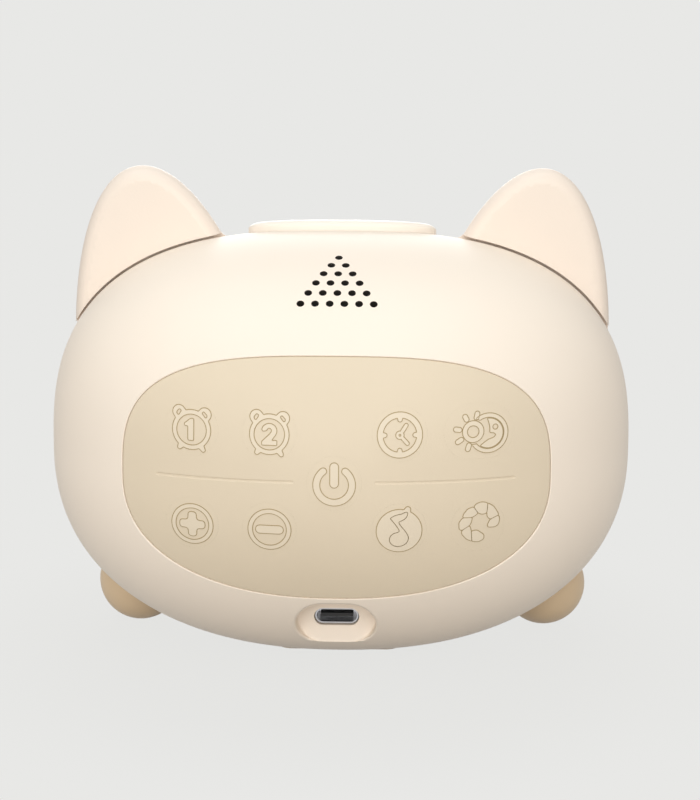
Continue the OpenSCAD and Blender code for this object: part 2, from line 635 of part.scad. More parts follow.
module key_board_screws() placed() color("#b9bcc0")
    for (p = BOARD_SCREWS) translate([p[0], board_t - key_board_back - board_screw_l + 0.1, p[1]])
        along_y() screw(board_screw_d, board_screw_l - 0.1, board_head_d, board_head_h);
module case_screws() placed() color("#b9bcc0")
    for (p = CASE_SCREWS) translate([p[0], well_floor_y + case_screw_l, p[1]])
        rotate([90, 0, 0]) screw(case_screw_d, case_screw_l, case_head_d, case_head_h);

// ---- speaker ----
magnet_d = 11;
gasket_t = 0.8;
module speaker_gasket() placed() color("#2c2c2e") at_speaker() translate([0, 0, -gasket_t]) difference() {
    cylinder(d = speaker_d, h = gasket_t);
    translate([0, 0, -1]) cylinder(d = speaker_d - 3, h = 3);
}
module speaker_frame() placed() color("#3a3c40") at_speaker() difference() {
    union() {
        translate([0, 0, -gasket_t - 1]) cylinder(d = speaker_d, h = 1);
        translate([0, 0, -speaker_h + 2]) cylinder(d1 = magnet_d + 2, d2 = speaker_d - 2.4,
                                                   h = speaker_h - gasket_t - 3);
    }
    translate([0, 0, -speaker_h + 3])
        cylinder(d1 = magnet_d, d2 = speaker_d - 3, h = speaker_h - gasket_t - 2.9);
}
module speaker_cone() placed() color("#1c1c1e") at_speaker() translate([0, 0, -speaker_h + 3])
    cylinder(d1 = magnet_d, d2 = speaker_d - 4.4, h = speaker_h - gasket_t - 3.4);
module speaker_magnet() placed() color("#8d9094") at_speaker() translate([0, 0, -speaker_h])
    cylinder(d = magnet_d, h = 2);
module dust_mesh() placed() color("#151516")
    under_grille(grille_wall + 0.05, grille_wall + 0.65, speaker_d - 2.4);

// ---- main board ----
module main_board_plate() placed() color("#2f6b46") difference() {
    block(main_board[0], main_board[1], main_board[2], main_board[3], main_board_z, main_board_z + board_t);
    for (p = MAIN_SCREWS) translate([p[0], p[1], -far])
        cylinder(d = board_screw_d + screw_play, h = far * 2);
}
module main_board_screws() placed() color("#b9bcc0")
    for (p = MAIN_SCREWS) translate([p[0], p[1], main_board_z + board_t - board_screw_l + 0.1])
        screw(board_screw_d, board_screw_l - 0.1, board_head_d, board_head_h);
socket_t = 0.3;
socket_front = socket_sink - pocket_floor;
module socket_shell() placed() color("#c9ccd0") difference() {
    slot(socket_w, socket_h, socket_front, socket_front + socket_l, socket_z);
    slot(socket_w - 2 * socket_t, socket_h - 2 * socket_t,
         socket_front - 1, socket_front + socket_l - 1, socket_z);
}
module socket_tongue() placed() color("#1b1c1e")
    block(-3.35, 3.35, socket_front + 0.7, socket_front + socket_l - 1, socket_z - 0.35, socket_z + 0.35);
board_top = main_board_z + board_t;
module main_chips() placed() color("#26272a") {
    block(-5, 5, -6, 4, board_top, board_top + 1.4);
    block(8, 13, -9, -5, board_top, board_top + 1.5);
    block(-13, -8.5, 2, 6.5, board_top, board_top + 1.6);
}
module main_parts() placed() color("#9b6a3a") {
    translate([13, 8, board_top]) cylinder(d = 5, h = 5.4);
    translate([-14.5, -9, board_top]) cylinder(d = 5, h = 5.4);
    block(3, 8, 8, 12, board_top, board_top + 2.8);
}
lead_x = 5 - battery_size[0] / 2;
module main_plugs() placed() color("#f1ead8") {
    block(lead_x - 3, lead_x + 3, 5, 10, board_top, board_top + 5);
    block(17, 22, 2, 7, board_top, board_top + 5);
}

// ---- light and display ----
light_face_y = light_board_y + board_t;
module_w = 51;
module_h = 18;
module_z = 0.4;
tub_w = module_w / 2 + 4.5;
tub_up = module_z + module_h / 2 + 7;
tub_floor = [tub_w, tub_up, tub_up, 3, 3, 0];
tab_w = board_boss_d + 3.2;
module light_board() placed() color("#e9e9e4") difference() {
    translate([0, light_board_y, 0]) along_y() linear_extrude(board_t) union() {
        square([2 * tub_w + 1, 2 * tub_up + 1.2], center = true);
        translate([-tab_w / 2, -light_screw_up - 3]) square([tab_w, light_screw_up + light_screw_down + 6]);
        square([2 * light_screw_x + 6, tab_w], center = true);
    }
    for (p = LIGHT_SCREWS) bar(p[0], p[1], board_screw_d + screw_play, 0, far);
}
module light_board_screws() placed() color("#b9bcc0")
    for (p = LIGHT_SCREWS) translate([p[0], light_board_y + board_screw_l - 0.1, p[1]])
        rotate([90, 0, 0]) screw(board_screw_d, board_screw_l - 0.1, board_head_d, board_head_h);
led_w = 2.8;
led_h = 1.9;
led_gap = 0.7;
led_rise = module_h / 2 + led_gap + 0.7 + led_w / 2;
led_side = module_w / 2 + led_gap + led_w / 2;
LEDS = concat([for (i = [-1.5, -0.5, 0.5, 1.5], s = [-1, 1])
                  [i * module_w * 0.275, module_z + s * led_rise]],
              [for (s = [-1, 1]) [s * led_side, module_z]]);
module night_leds() placed() color("#fff3c4")
    for (p = LEDS) block(p[0] - led_w / 2, p[0] + led_w / 2, light_face_y, light_face_y + led_h,
                         p[1] - led_w / 2, p[1] + led_w / 2);
module_face = light_face_y + 8;
module display_module() placed() color("#2a2b30")
    block(-module_w / 2, module_w / 2, light_face_y, module_face,
          module_z - module_h / 2, module_z + module_h / 2);
function lens_back(x, z) = front_y + bulge(front_out, x, z) - lens_t;
// The seven bars of a digit, each [x, z, upright] in shares of half the digit's width and height
SEGMENTS = [[0, 1, 0], [0, 0, 0], [0, -1, 0], [-1, 0.5, 1], [1, 0.5, 1], [-1, -0.5, 1], [1, -0.5, 1]];
DIGITS = [-1.5, -0.5, 0.5, 1.5];
segment_gap = 0.35;
module segment_bar(l, h) translate([0, 0, 0]) linear_extrude(h)
    let (e = l / 2, s = segment_w / 2)
    polygon([[-e, 0], [s - e, s], [e - s, s], [e, 0], [e - s, -s], [s - e, -s]]);
module display_digits() placed() color("#fff6dc") {
    w = digit_w - segment_w;
    h = digit_h - segment_w;
    for (d = DIGITS, s = SEGMENTS) {
        x = d * digit_pitch + s[0] * w / 2;
        z = module_z + s[1] * h / 2;
        out = lens_back(abs(x) + digit_w / 2, abs(z) + digit_h / 4) - 0.3;
        translate([x, module_face, z]) along_y() rotate([0, 0, 90 * s[2]])
            segment_bar((s[2] == 1 ? h / 2 : w) - segment_gap, out - module_face);
    }
    for (z = [-3, 3]) bar(0, module_z + z, 1.6, module_face, lens_back(2, 4) - 0.3);
}
module reflector() placed() color("#f6f6f2") difference() {
    skin([level(edge(tub_floor), light_face_y),
          on_front(front_out, 0.915 * lens_edge, lens_t + 0.3),
          on_front(front_out, 0.88 * lens_edge, lens_t + 0.3),
          level(edge(grow(tub_floor, -1.2, 0)), light_face_y + 1.2)],
         first = [0, light_face_y, 0], last = [0, light_face_y + 1.2, 0]);
    block(-module_w / 2 - 0.15, module_w / 2 + 0.15, 0, far, module_z - module_h / 2 - 0.15,
          module_z + module_h / 2 + 0.15);
    for (p = LEDS) block(p[0] - led_w / 2 - 0.15, p[0] + led_w / 2 + 0.15, 0, light_face_y + 3,
                         p[1] - led_w / 2 - 0.15, p[1] + led_w / 2 + 0.15);
}
lens_shares = [0.25, 0.5, 0.75, lens_clear, 1];
module face_lens() placed() color([0.98, 0.95, 0.88, 0.6])
    skin(concat([for (k = lens_shares) on_front(front_out, k * lens_edge)],
                [for (i = [4:-1:0]) on_front(front_out, lens_shares[i] * lens_edge, lens_t)]),
         first = [0, front_y + front_depth, 0], last = [0, front_y + front_depth - lens_t, 0], flip = true);

// ---- power and wiring ----
battery_pad_t = 0.6;
battery_y = light_board_y - battery_pad_t - battery_size[2];
module battery_pad() placed() color("#3c3c3c")
    block(-20, 20, light_board_y - battery_pad_t, light_board_y, -12, 12);
module battery() placed() color("#9fb4c4")
    block(-battery_size[0] / 2, battery_size[0] / 2, battery_y, battery_y + battery_size[2],
          -battery_size[1] / 2, battery_size[1] / 2);
module battery_lead() placed() color("#b3342c") {
    y = battery_y + battery_size[2] / 2;
    for (dx = [-1, 1]) wire([[lead_x + dx, y, -battery_size[1] / 2], [lead_x + dx, y, -18.5],
        [lead_x + dx, y - 1.2, -20], [lead_x + dx, 8.2, -21], [lead_x + dx, 7.5, board_top + 6.2],
        [lead_x + dx, 7.5, board_top + 5]], 0.6);
}
module speaker_lead() placed() color("#3d3d42") {
    from = speaker_front - speaker_h * speaker_axis;
    for (dx = [-1, 1]) wire([from + [2.5 + dx, 0, 0], from - 2 * speaker_axis + [2.5 + dx, 0, 0],
        [8 + dx, -9, 18], [13 + dx, -6, 4], [17 + dx, -1, -8], [19.5 + dx, 3.5, -17],
        [19.5 + dx, 4.5, board_top + 6.5], [19.5 + dx, 4.5, board_top + 5]], 0.6);
}
// A flat ribbon in a plane across the body, thick along its own normal
module ribbon(path, x0, w) translate([x0, 0, 0]) rotate([90, 0, 90]) linear_extrude(w)
    polygon(concat(path, [for (i = [len(path) - 1:-1:0]) path[i] + [0.32, 0.1]]));
module key_ribbon() placed() color("#e4e0d4")
    ribbon([[board_t - key_board_back, -7], [-25, -9], [-23.6, -12], [-20, -20], [-17.5, -25],
            [-16.4, board_top]], -15, 12);
module light_ribbon() placed() color("#e4e0d4")
    ribbon([[light_board_y - 0.32, -16.4], [14.4, -19], [13, -22.5], [11.4, -26],
            [11, board_top]], -12, 10);

rear_shell();
front_shell();
keypad_mat();
key_alarm1();
key_alarm2();
key_time();
key_sun_moon();
key_power();
key_plus();
key_minus();
key_sound();
key_light();
top_button();
top_board();
top_board_screws();
snooze_switch();
face_lens();
foot_left();
foot_right();
foot_screws();
belly_pad();
key_board();
key_switches();
key_board_screws();
case_screws();
speaker_gasket();
speaker_frame();
speaker_cone();
speaker_magnet();
dust_mesh();
main_board_plate();  // main_board
main_board_screws();
socket_shell();
socket_tongue();
main_chips();
main_parts();
main_plugs();
light_board();
light_board_screws();
night_leds();
display_module();
display_digits();
reflector();
battery_pad();
battery();
battery_lead();
speaker_lead();
key_ribbon();
light_ribbon();
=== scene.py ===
import math
from collections import Counter

import bmesh
import bpy
import numpy as np
from mathutils import Matrix, Vector
from mathutils.geometry import delaunay_2d_cdt


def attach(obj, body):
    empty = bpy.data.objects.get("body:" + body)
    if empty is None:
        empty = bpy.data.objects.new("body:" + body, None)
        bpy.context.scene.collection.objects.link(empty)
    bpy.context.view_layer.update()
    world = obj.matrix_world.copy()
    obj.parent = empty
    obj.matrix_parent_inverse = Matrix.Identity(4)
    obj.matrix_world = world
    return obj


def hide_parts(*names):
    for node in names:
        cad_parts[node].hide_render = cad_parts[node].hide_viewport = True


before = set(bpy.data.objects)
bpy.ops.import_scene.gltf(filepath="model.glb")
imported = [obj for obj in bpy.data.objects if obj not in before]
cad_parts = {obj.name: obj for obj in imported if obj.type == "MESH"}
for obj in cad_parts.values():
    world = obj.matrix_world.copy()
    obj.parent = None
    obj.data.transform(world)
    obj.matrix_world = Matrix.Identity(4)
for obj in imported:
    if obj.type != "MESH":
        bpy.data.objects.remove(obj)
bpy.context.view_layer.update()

# ----------------------------------------
# Rear shell. The back half of the clock's plump case, moulded in cream ABS with a fine satin
# texture. It carries the keypad's recess, the speaker's holes and the charging pocket, and four
# screws under the keypad draw it onto the front shell.

# Sizes are millimetres from the middle of the case's widest section, which stands this far from
# the middle of the belly pad on the table.
mm = 0.001
case_middle = np.array([0.0, 6.2, 42.7])
# Each oval is half width, height above, height below, fullness above and below, dome depth.
rear_oval = (61.0, 45.6, 43.9, 2.69, 2.26, 42.2)
rear_inside = (58.6, 43.2, 41.5, 2.69, 2.26, 38.6)
pad_oval = (43.0, 25.2, 24.2, 3.0, 2.35, 0.0)
# The mean half size of an oval, which turns a small step outward into a share of it.
case_reach, pad_reach = 50, 36
rear_rim_y, rear_rim_round = 1.0, 0.3
pad_recess, pad_lip = 1.6, 0.5
belly_plane = -42.4
shell_points = 288


def fullness_and_height(oval, z):
    return np.where(z >= 0, oval[3], oval[4]), np.where(z >= 0, oval[1], oval[2])


def oval_edge(oval, n=shell_points, scale=1.0):
    t = np.linspace(0, 2 * np.pi, n, endpoint=False)
    c, s = np.cos(t), np.sin(t)
    m, h = fullness_and_height(oval, s)
    r = (np.abs(c / oval[0]) ** m + np.abs(s / h) ** m) ** (-1 / m)
    return scale * np.stack([c * r, s * r], 1)


def oval_share(oval, x, z):
    """How far out a point lies: 0 in the oval's middle and 1 on its edge."""
    m, h = fullness_and_height(oval, z)
    return (np.abs(x / oval[0]) ** m + np.abs(z / h) ** m) ** (1 / m)


def share_and_growth(oval, x, z):
    """The share, and how half its square grows along x and along z."""
    share = np.maximum(oval_share(oval, x, z), 1e-6)
    m, h = fullness_and_height(oval, z)
    gx = share ** (2 - m) * np.sign(x) * np.abs(x / oval[0]) ** (m - 1) / oval[0]
    gz = share ** (2 - m) * np.sign(z) * np.abs(z / h) ** (m - 1) / h
    return share, gx, gz


def dome_depth(oval, x, z):
    return oval[5] * np.sqrt(np.maximum(0, 1 - oval_share(oval, x, z) ** 2))


def rear_y(x, z, inward, oval=rear_oval):
    """Where the rear dome's skin stands over a point, moved into the case."""
    return inward - dome_depth(oval, x, z)


def level_ring(flat, y):
    """An outline drawn in x and z, set at one y, or each point at its own."""
    return np.stack([flat[:, 0], np.broadcast_to(y, (len(flat),)), flat[:, 1]], 1)


def rear_ring(flat, inward=0.0, oval=rear_oval):
    return level_ring(flat, rear_y(flat[:, 0], flat[:, 1], inward, oval))


def rounded_shares(count):
    """Steps from 0 that crowd toward 1, where a dome turns fastest, without the last."""
    return [math.sin(math.pi / 2 * i / count) for i in range(1, count)]


def rolled_edge(radius, degrees):
    """Round a quarter circle: how far each step has gone sideways, and how far it is from the end."""
    return [(radius * (1 - math.cos(a)), radius * (1 - math.sin(a))) for a in np.radians(degrees)]


def loft(rings, first=None, last=None, loop=False):
    """Joins rings of equal count by quads, and closes the ends with fans round their tips."""
    n, m = len(rings[0]), len(rings)
    points = [tuple(p) for r in rings for p in r]
    faces = []
    for j in range(m if loop else m - 1):
        a, b = j * n, ((j + 1) % m) * n
        faces += [(a + i, a + (i + 1) % n, b + (i + 1) % n, b + i) for i in range(n)]
    if not loop:
        for tip, base, turn in ((first, 0, 1), (last, (m - 1) * n, -1)):
            if tip is not None:
                points.append(tuple(tip))
                k = len(points) - 1
                faces += [(k, base + (i + 1) % n, base + i)[::turn] for i in range(n)]
    return points, faces


def make_piece(name, *parts):
    """One mesh from lofts and other (points, faces) pairs, in metres, with its faces outward."""
    points, faces = [], []
    for part_points, part_faces in parts:
        faces += [tuple(i + len(points) for i in f) for f in part_faces]
        points += list(part_points)
    mesh = bpy.data.meshes.new(name)
    mesh.from_pydata([tuple((np.array(p) + case_middle) * mm) for p in points], [], faces)
    obj = bpy.data.objects.new(name, mesh)
    bpy.context.collection.objects.link(obj)
    bm = bmesh.new()
    bm.from_mesh(mesh)
    bmesh.ops.recalc_face_normals(bm, faces=bm.faces)
    bm.to_mesh(mesh)
    bm.free()
    return obj


def combine(obj, tools, operation):
    """Cuts the tools from a piece or joins them to it, then drops them."""
    for tool in tools:
        change = obj.modifiers.new("join", "BOOLEAN")
        change.object, change.operation, change.solver = tool, operation, "EXACT"
    ready = obj.evaluated_get(bpy.context.evaluated_depsgraph_get())
    mesh = bpy.data.meshes.new_from_object(ready)
    obj.modifiers.clear()
    obj.data = mesh
    for tool in tools:
        bpy.data.objects.remove(tool)


def all_of(items, field, width=1, kind=float):
    """One field of every point, corner or face of a mesh."""
    values = np.empty(len(items) * width, kind)
    items.foreach_get(field, values)
    return values.reshape(-1, width) if width > 1 else values


def shade(obj, sharp, surface_normals=None, same_way=0.93):
    """Smooth shading with sharp edges, and the true normals of a dome where a face lies on it."""
    mesh = obj.data
    mesh.polygons.foreach_set("use_smooth", np.ones(len(mesh.polygons), bool))
    mesh.set_sharp_from_angle(angle=math.radians(sharp))
    if surface_normals is None:
        return
    corner = all_of(mesh.corner_normals, "vector", 3)
    index = all_of(mesh.loops, "vertex_index", kind=int)
    true, on = surface_normals(all_of(mesh.vertices, "co", 3) / mm - case_middle)
    total = all_of(mesh.polygons, "loop_total", kind=int)
    facing = np.repeat(all_of(mesh.polygons, "normal", 3), total, axis=0)
    use = on[index] & (np.sum(facing * true[index], 1) > same_way)
    corner[use] = true[index][use]
    mesh.normals_split_custom_set(corner.tolist())


def oval_normals(oval, front, tolerance=0.004):
    """The outward normals of a dome with its rim at y = front, and which points lie on it."""
    def at(p):
        y = p[:, 1] - front
        share, gx, gz = share_and_growth(oval, p[:, 0], p[:, 2])
        past = y > 0 if front < 1 else y < 0
        gy = np.where(past, 0, y / oval[5] ** 2)
        n = np.stack([gx, gy, gz], 1)
        n /= np.maximum(np.linalg.norm(n, axis=1), 1e-12)[:, None]
        value = share ** 2 + np.where(past, 0, (y / oval[5]) ** 2)
        return n, (np.abs(value - 1) < tolerance) & (p[:, 2] > belly_plane + 0.01)
    return at


def new_material(name):
    material = bpy.data.materials.new(name)
    material.use_nodes = True
    return material, material.node_tree.nodes, material.node_tree.links


def set_inputs(node, **values):
    """Sets a shader node's inputs, where _ stands for the space in a name."""
    for label, value in values.items():
        node.inputs[label.replace("_", " ")].default_value = value
    return node


def add_node(nodes, kind, **values):
    return set_inputs(nodes.new("ShaderNode" + kind), **values)


def wire(links, *wires):
    for start, outlet, end, inlet in wires:
        links.new(start.outputs[outlet], end.inputs[inlet])


def grained_plastic(name, colour, roughness, grain=0.35, mottle=0.03, glow=0.0):
    """Moulded plastic: spark-eroded grain in the surface, slow drift in colour and gloss."""
    material, nodes, links = new_material(name)
    shader = set_inputs(nodes["Principled BSDF"], IOR=1.5)
    where = add_node(nodes, "TexCoord")
    drift = add_node(nodes, "TexNoise", Scale=22, Detail=3)
    tint = add_node(nodes, "ValToRGB")
    dark, light = tint.color_ramp.elements
    dark.position, light.position = 0.3, 0.7
    dark.color = (*[c * (1 - mottle) for c in colour], 1)
    light.color = (*[min(1, c * (1 + mottle * 0.6)) for c in colour], 1)
    gloss = add_node(nodes, "MapRange", To_Min=roughness - 0.05, To_Max=roughness + 0.05)
    fine = add_node(nodes, "TexNoise", Scale=2600, Detail=2)
    bump = add_node(nodes, "Bump", Strength=grain, Distance=0.00004)
    wire(links, (where, "Object", drift, "Vector"), (where, "Object", fine, "Vector"),
         (drift, "Fac", tint, "Fac"), (tint, "Color", shader, "Base Color"),
         (drift, "Fac", gloss, "Value"), (gloss, "Result", shader, "Roughness"),
         (fine, "Fac", bump, "Height"), (bump, "Normal", shader, "Normal"))
    if glow:
        wire(links, (tint, "Color", shader, "Emission Color"))
        set_inputs(shader, Emission_Strength=glow)
    return material


def dress(obj, material, nodes=(), body="case"):
    """Gives a piece its material, its body and the CAD nodes it stands for."""
    obj.data.materials.clear()
    obj.data.materials.append(material)
    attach(obj, body)
    if nodes:
        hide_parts(*nodes)


def stadium_ring(width, height, outset=0.0, z=0.0, n=96):
    """A bar with round ends, in the plane of the back, grown by its outset."""
    r, half = height / 2 + outset, (width - height) / 2
    t = np.linspace(0, 2 * np.pi, n, endpoint=False)
    return np.stack([np.cos(t) * r + np.where(np.cos(t) >= 0, half, -half), np.sin(t) * r + z], 1)


def straight_bar(ring, y0, y1, middle):
    x, z = middle
    return loft([level_ring(ring, y0), level_ring(ring, y1)], (x, y0, z), (x, y1, z))


def flat_belly(rings):
    """Cuts the underside flat for the belly pad."""
    for ring in rings:
        ring[:, 2] = np.maximum(ring[:, 2], belly_plane)
    return rings


cream_shell = grained_plastic("cream_shell", (0.91, 0.805, 0.69), 0.46, 0.3, 0.015)

# The skin runs from the recess's floor over the rolled lip and the dome to the rim, and back inside.
rear_edge, inside_edge, pad_edge = oval_edge(rear_oval), oval_edge(rear_inside), oval_edge(pad_oval)
lip_edge = pad_edge * (1 + pad_lip / pad_reach)
rear_rings = [rear_ring(pad_edge * k, pad_recess) for k in (0.35, 0.7, 0.9, 1.0)]
rear_rings += [rear_ring(pad_edge * (1 + out / pad_reach), down)
               for out, down in rolled_edge(pad_lip, range(0, 91, 18))]
rear_rings += [rear_ring((1 - e) * lip_edge + e * rear_edge) for e in rounded_shares(44)]
rear_rings += [level_ring(rear_edge, y) for y in (0.0, 0.4, rear_rim_y - rear_rim_round)]
rear_rings += [level_ring(rear_edge * (1 - out / case_reach), rear_rim_y - down)
               for out, down in rolled_edge(rear_rim_round, (30, 60, 90))]
rear_rings += [level_ring(inside_edge, rear_rim_y), level_ring(inside_edge, 0.0)]
rear_rings += [rear_ring(inside_edge * k, 0.0, rear_inside)
               for k in (0.99, 0.96, 0.9, 0.8, 0.66, 0.5, 0.33, 0.16)]
rear_shell = make_piece("rear_case", loft(flat_belly(rear_rings), (0, rear_y(0, 0, pad_recess), 0),
                                          (0, rear_y(0, 0, 0.0, rear_inside), 0)))

# The charging pocket is a moulded bucket with a rolled rim, and its socket's slot is cut in it.
pocket_w, pocket_h, pocket_z, pocket_floor = 16.4, 11.4, -31.5, -22.5
pocket_roll, pocket_corner, pocket_wall = 0.9, 0.4, 1.8
bucket_start, past_skin = 1.4, -44.0
slot_w, slot_h, slot_z, slot_start, slot_end = 9.3, 3.62, -31.7, -23.0, -19.0
bucket, bucket_end = stadium_ring(pocket_w, pocket_h, pocket_wall, pocket_z), pocket_floor + pocket_wall
bucket_rings = [rear_ring(bucket, bucket_start), level_ring(bucket, bucket_end)]
# Low down the dome lies further forward than the bucket's end, so there the end follows it.
bucket_rings[1][:, 1] = np.maximum(bucket_rings[1][:, 1], bucket_rings[0][:, 1] + 0.2)
bucket_shell = make_piece("bucket", loft(bucket_rings, (0, rear_y(0, pocket_z, bucket_start), pocket_z),
                                         (0, bucket_end, pocket_z)))
combine(rear_shell, [bucket_shell], "UNION")
pocket_rings = [level_ring(stadium_ring(pocket_w, pocket_h, -left, pocket_z), pocket_floor - up)
                for up, left in rolled_edge(pocket_corner, range(0, 91, 15))]
# The rolled rim follows the dome, and stays clear of the floor's own corner where the dome is low.
for step, (out, down) in enumerate(rolled_edge(pocket_roll, range(0, 91, 10))):
    ring = rear_ring(stadium_ring(pocket_w, pocket_h, out, pocket_z), down)
    ring[:, 1] = np.minimum(ring[:, 1], pocket_floor - pocket_corner - 0.02 * (step + 1))
    pocket_rings.append(ring)
outer = stadium_ring(pocket_w, pocket_h, pocket_roll + 0.3, pocket_z)
pocket_rings += [rear_ring(outer, -0.35), level_ring(outer, past_skin)]
pocket_cut = make_piece("pocket_cut", loft(pocket_rings, (0, pocket_floor, pocket_z),
                                           (0, past_skin, pocket_z)))
slot = stadium_ring(slot_w, slot_h, 0, slot_z)
slot_cut = make_piece("slot_cut", straight_bar(slot, slot_start, slot_end, (0, slot_z)))


def ring_across(run, radius, n, hint):
    """A circle round a unit direction, begun square to the hint."""
    side = np.cross(run, hint)
    side /= np.linalg.norm(side)
    t = np.linspace(0, 2 * np.pi, n, endpoint=False)[:, None]
    return radius * (np.cos(t) * side + np.sin(t) * np.cross(run, side))


def round_bar(middle, axis, radius, low, high, n=32):
    axis = np.array(axis) / np.linalg.norm(axis)
    ring = ring_across(axis, radius, n, (1.0, 0.0, 0.0))
    ends = [np.array(middle) + axis * reach for reach in (low, high)]
    return loft([ring + end for end in ends], *ends)


# Six rows of speaker holes make a triangle over the middle, each drilled square to the dome.
hole_rows, lowest_row, row_pitch, hole_pitch, hole_radius = 6, 49.2, 2.7, 2.92, 0.78
drill_in, drill_out = -6, 3
dome_deep, dome_high = rear_oval[5], rear_oval[1]
hole_places = []
for row in range(hole_rows):
    a = math.radians(lowest_row + (hole_rows - 1 - row) * math.degrees(row_pitch / dome_deep))
    axis = np.array([0, -math.cos(a) / dome_deep, math.sin(a) / dome_high])
    for i in range(row + 1):
        middle = np.array([(i - row / 2) * hole_pitch, -dome_deep * math.cos(a), dome_high * math.sin(a)])
        hole_places.append((middle, axis / np.linalg.norm(axis)))
hole_cut = make_piece("hole_cut", *[round_bar(*place, hole_radius, drill_in, drill_out)
                                    for place in hole_places])

# The snooze button's slot is shared by both shells and the ears.
button_oval = (19.9, 7.5, 7.5, 3.0, 3.0, 0.0)
button_y, button_play = 7.2, 0.25


def button_ring(scale, z, gap=0.0, n=192):
    edge = oval_edge((*[half + gap for half in button_oval[:3]], *button_oval[3:]), n, scale)
    return np.stack([edge[:, 0], edge[:, 1] + button_y, np.full(n, z)], 1)


def button_slot(name, low=30.0, high=60.0):
    return make_piece(name, loft([button_ring(1, z, button_play) for z in (low, high)],
                                 (0, button_y, low), (0, button_y, high)))


# The wall is thinned over the speaker, so the black cloth shows close under the holes.
thin_w, thin_h, thin_z, thin_wall, thin_deep, thin_end = 17.8, 10.0, 38.3, 1.7, 6.0, -14.0
thin = stadium_ring(thin_w, thin_h)
thin_rings = [rear_ring(thin * k + [0, thin_z], thin_wall) for k in (0.15, 0.4, 0.65, 0.85, 1.0)]
thin_rings.append(rear_ring(thin + [0, thin_z], thin_deep))
thin_cut = make_piece("thin_cut", loft(thin_rings, (0, rear_y(0, thin_z, thin_wall), thin_z),
                                       (0, thin_end, thin_z)))
combine(rear_shell, [pocket_cut, slot_cut, thin_cut, hole_cut, button_slot("rear_notch")], "DIFFERENCE")
shade(rear_shell, 32, oval_normals(rear_oval, 0.0))
dress(rear_shell, cream_shell, ["rear_shell"])

# The walls of the speaker holes get a near-black material: painted shade that stands for the dark inside of
# the deep holes.
rear_shell.data.materials.append(grained_plastic("hole_painted_shade", (0.035, 0.03, 0.026), 0.6))
for face in rear_shell.data.polygons:
    spot = np.array(face.center) / mm - case_middle
    for middle, axis in hole_places:
        along = float((spot - middle) @ axis)
        apart = np.linalg.norm(spot - middle - along * axis)
        square_to_hole = abs(float(np.array(face.normal) @ axis)) < 0.3
        if apart < hole_radius + 0.02 and abs(along) < 3 and square_to_hole:
            face.material_index = 1

# ----------------------------------------
# Speaker. A small round speaker behind the holes: a black dust cloth, a foam gasket, a moulded
# basket with its film cone and a pressed steel magnet cup, glued into the seat in the rear shell.


def finish_nodes(**finishes):
    """Gives solids that keep their shape their materials."""
    for node, material in finishes.items():
        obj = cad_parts[node]
        obj.data.materials.clear()
        obj.data.materials.append(material)


def woven_cloth(name, colour, pitch=0.00035):
    """Cloth of crossed threads."""
    material = grained_plastic(name, colour, 0.85, 0.0)
    nodes, links = material.node_tree.nodes, material.node_tree.links
    height = add_node(nodes, "Math")
    height.operation = "ADD"
    for k, direction in enumerate(("X", "Y")):
        wave = add_node(nodes, "TexWave", Scale=0.32 / pitch)
        wave.bands_direction = direction
        wire(links, (nodes["Texture Coordinate"], "Object", wave, "Vector"), (wave, "Fac", height, k))
    wire(links, (height, 0, set_inputs(nodes["Bump"], Strength=0.6), "Height"))
    return material


def pressed_metal(name, colour, roughness=0.3, scratch=0.25):
    """Plated or turned metal with fine marks in one direction."""
    material, nodes, links = new_material(name)
    shader = set_inputs(nodes["Principled BSDF"], Metallic=1.0)
    where = add_node(nodes, "TexCoord")
    stretch = add_node(nodes, "Mapping", Scale=(300, 4000, 4000))
    marks = add_node(nodes, "TexNoise", Scale=1.0, Detail=3)
    tint = add_node(nodes, "ValToRGB")
    tint.color_ramp.elements[0].color = (*[c * 0.86 for c in colour], 1)
    tint.color_ramp.elements[1].color = (*colour, 1)
    gloss = add_node(nodes, "MapRange", To_Min=roughness - 0.08, To_Max=roughness + 0.1)
    bump = add_node(nodes, "Bump", Strength=scratch, Distance=0.00001)
    wire(links, (where, "Object", stretch, "Vector"), (stretch, "Vector", marks, "Vector"),
         (marks, "Fac", tint, "Fac"), (marks, "Fac", gloss, "Value"), (marks, "Fac", bump, "Height"),
         (tint, "Color", shader, "Base Color"), (gloss, "Result", shader, "Roughness"),
         (bump, "Normal", shader, "Normal"))
    return material


dust_cloth = woven_cloth("dust_cloth", (0.008, 0.008, 0.009))
dark_foam = grained_plastic("dark_foam", (0.03, 0.03, 0.032), 0.9, 1.0, 0.3)
basket_plastic = grained_plastic("basket_plastic", (0.05, 0.052, 0.06), 0.5)
cone_film = grained_plastic("cone_film", (0.012, 0.012, 0.014), 0.35)
plated_steel = pressed_metal("plated_steel", (0.62, 0.63, 0.66))
finish_nodes(dust_mesh=dust_cloth, speaker_gasket=dark_foam, speaker_frame=basket_plastic,
             speaker_cone=cone_film, speaker_magnet=plated_steel)

# ----------------------------------------
# Keypad. One soft silicone moulding in sand, which drops into the recess almost flush. Two fine
# grooves part its upper row from its lower row, on both sides of the power key.
pad_sink, pad_round = 0.2, 0.3
pad_fit = 1 - 0.02 / 25
key_radius, long_key, key_play, key_cut_start, key_cut_end = 5.4, 14.0, 0.008, -46.0, -20.0
key_places = {
    "alarm1": (-28.4, 10.8), "alarm2": (-12.8, 10.8), "time": (12.8, 10.8), "sun_moon": (28.4, 10.8),
    "power": (0.0, 1.2), "plus": (-28.4, -8.4), "minus": (-12.8, -8.4), "sound": (12.8, -8.4),
    "light": (28.4, -8.4),
}


def silicone(name, colour):
    """Soft silicone: dull and dusty, with a bloom of light at its grazing edges."""
    material = grained_plastic(name, colour, 0.62, 0.45, 0.025)
    set_inputs(material.node_tree.nodes["Principled BSDF"], Sheen_Weight=0.12, Sheen_Roughness=0.5,
               Specular_IOR_Level=0.35)
    return material


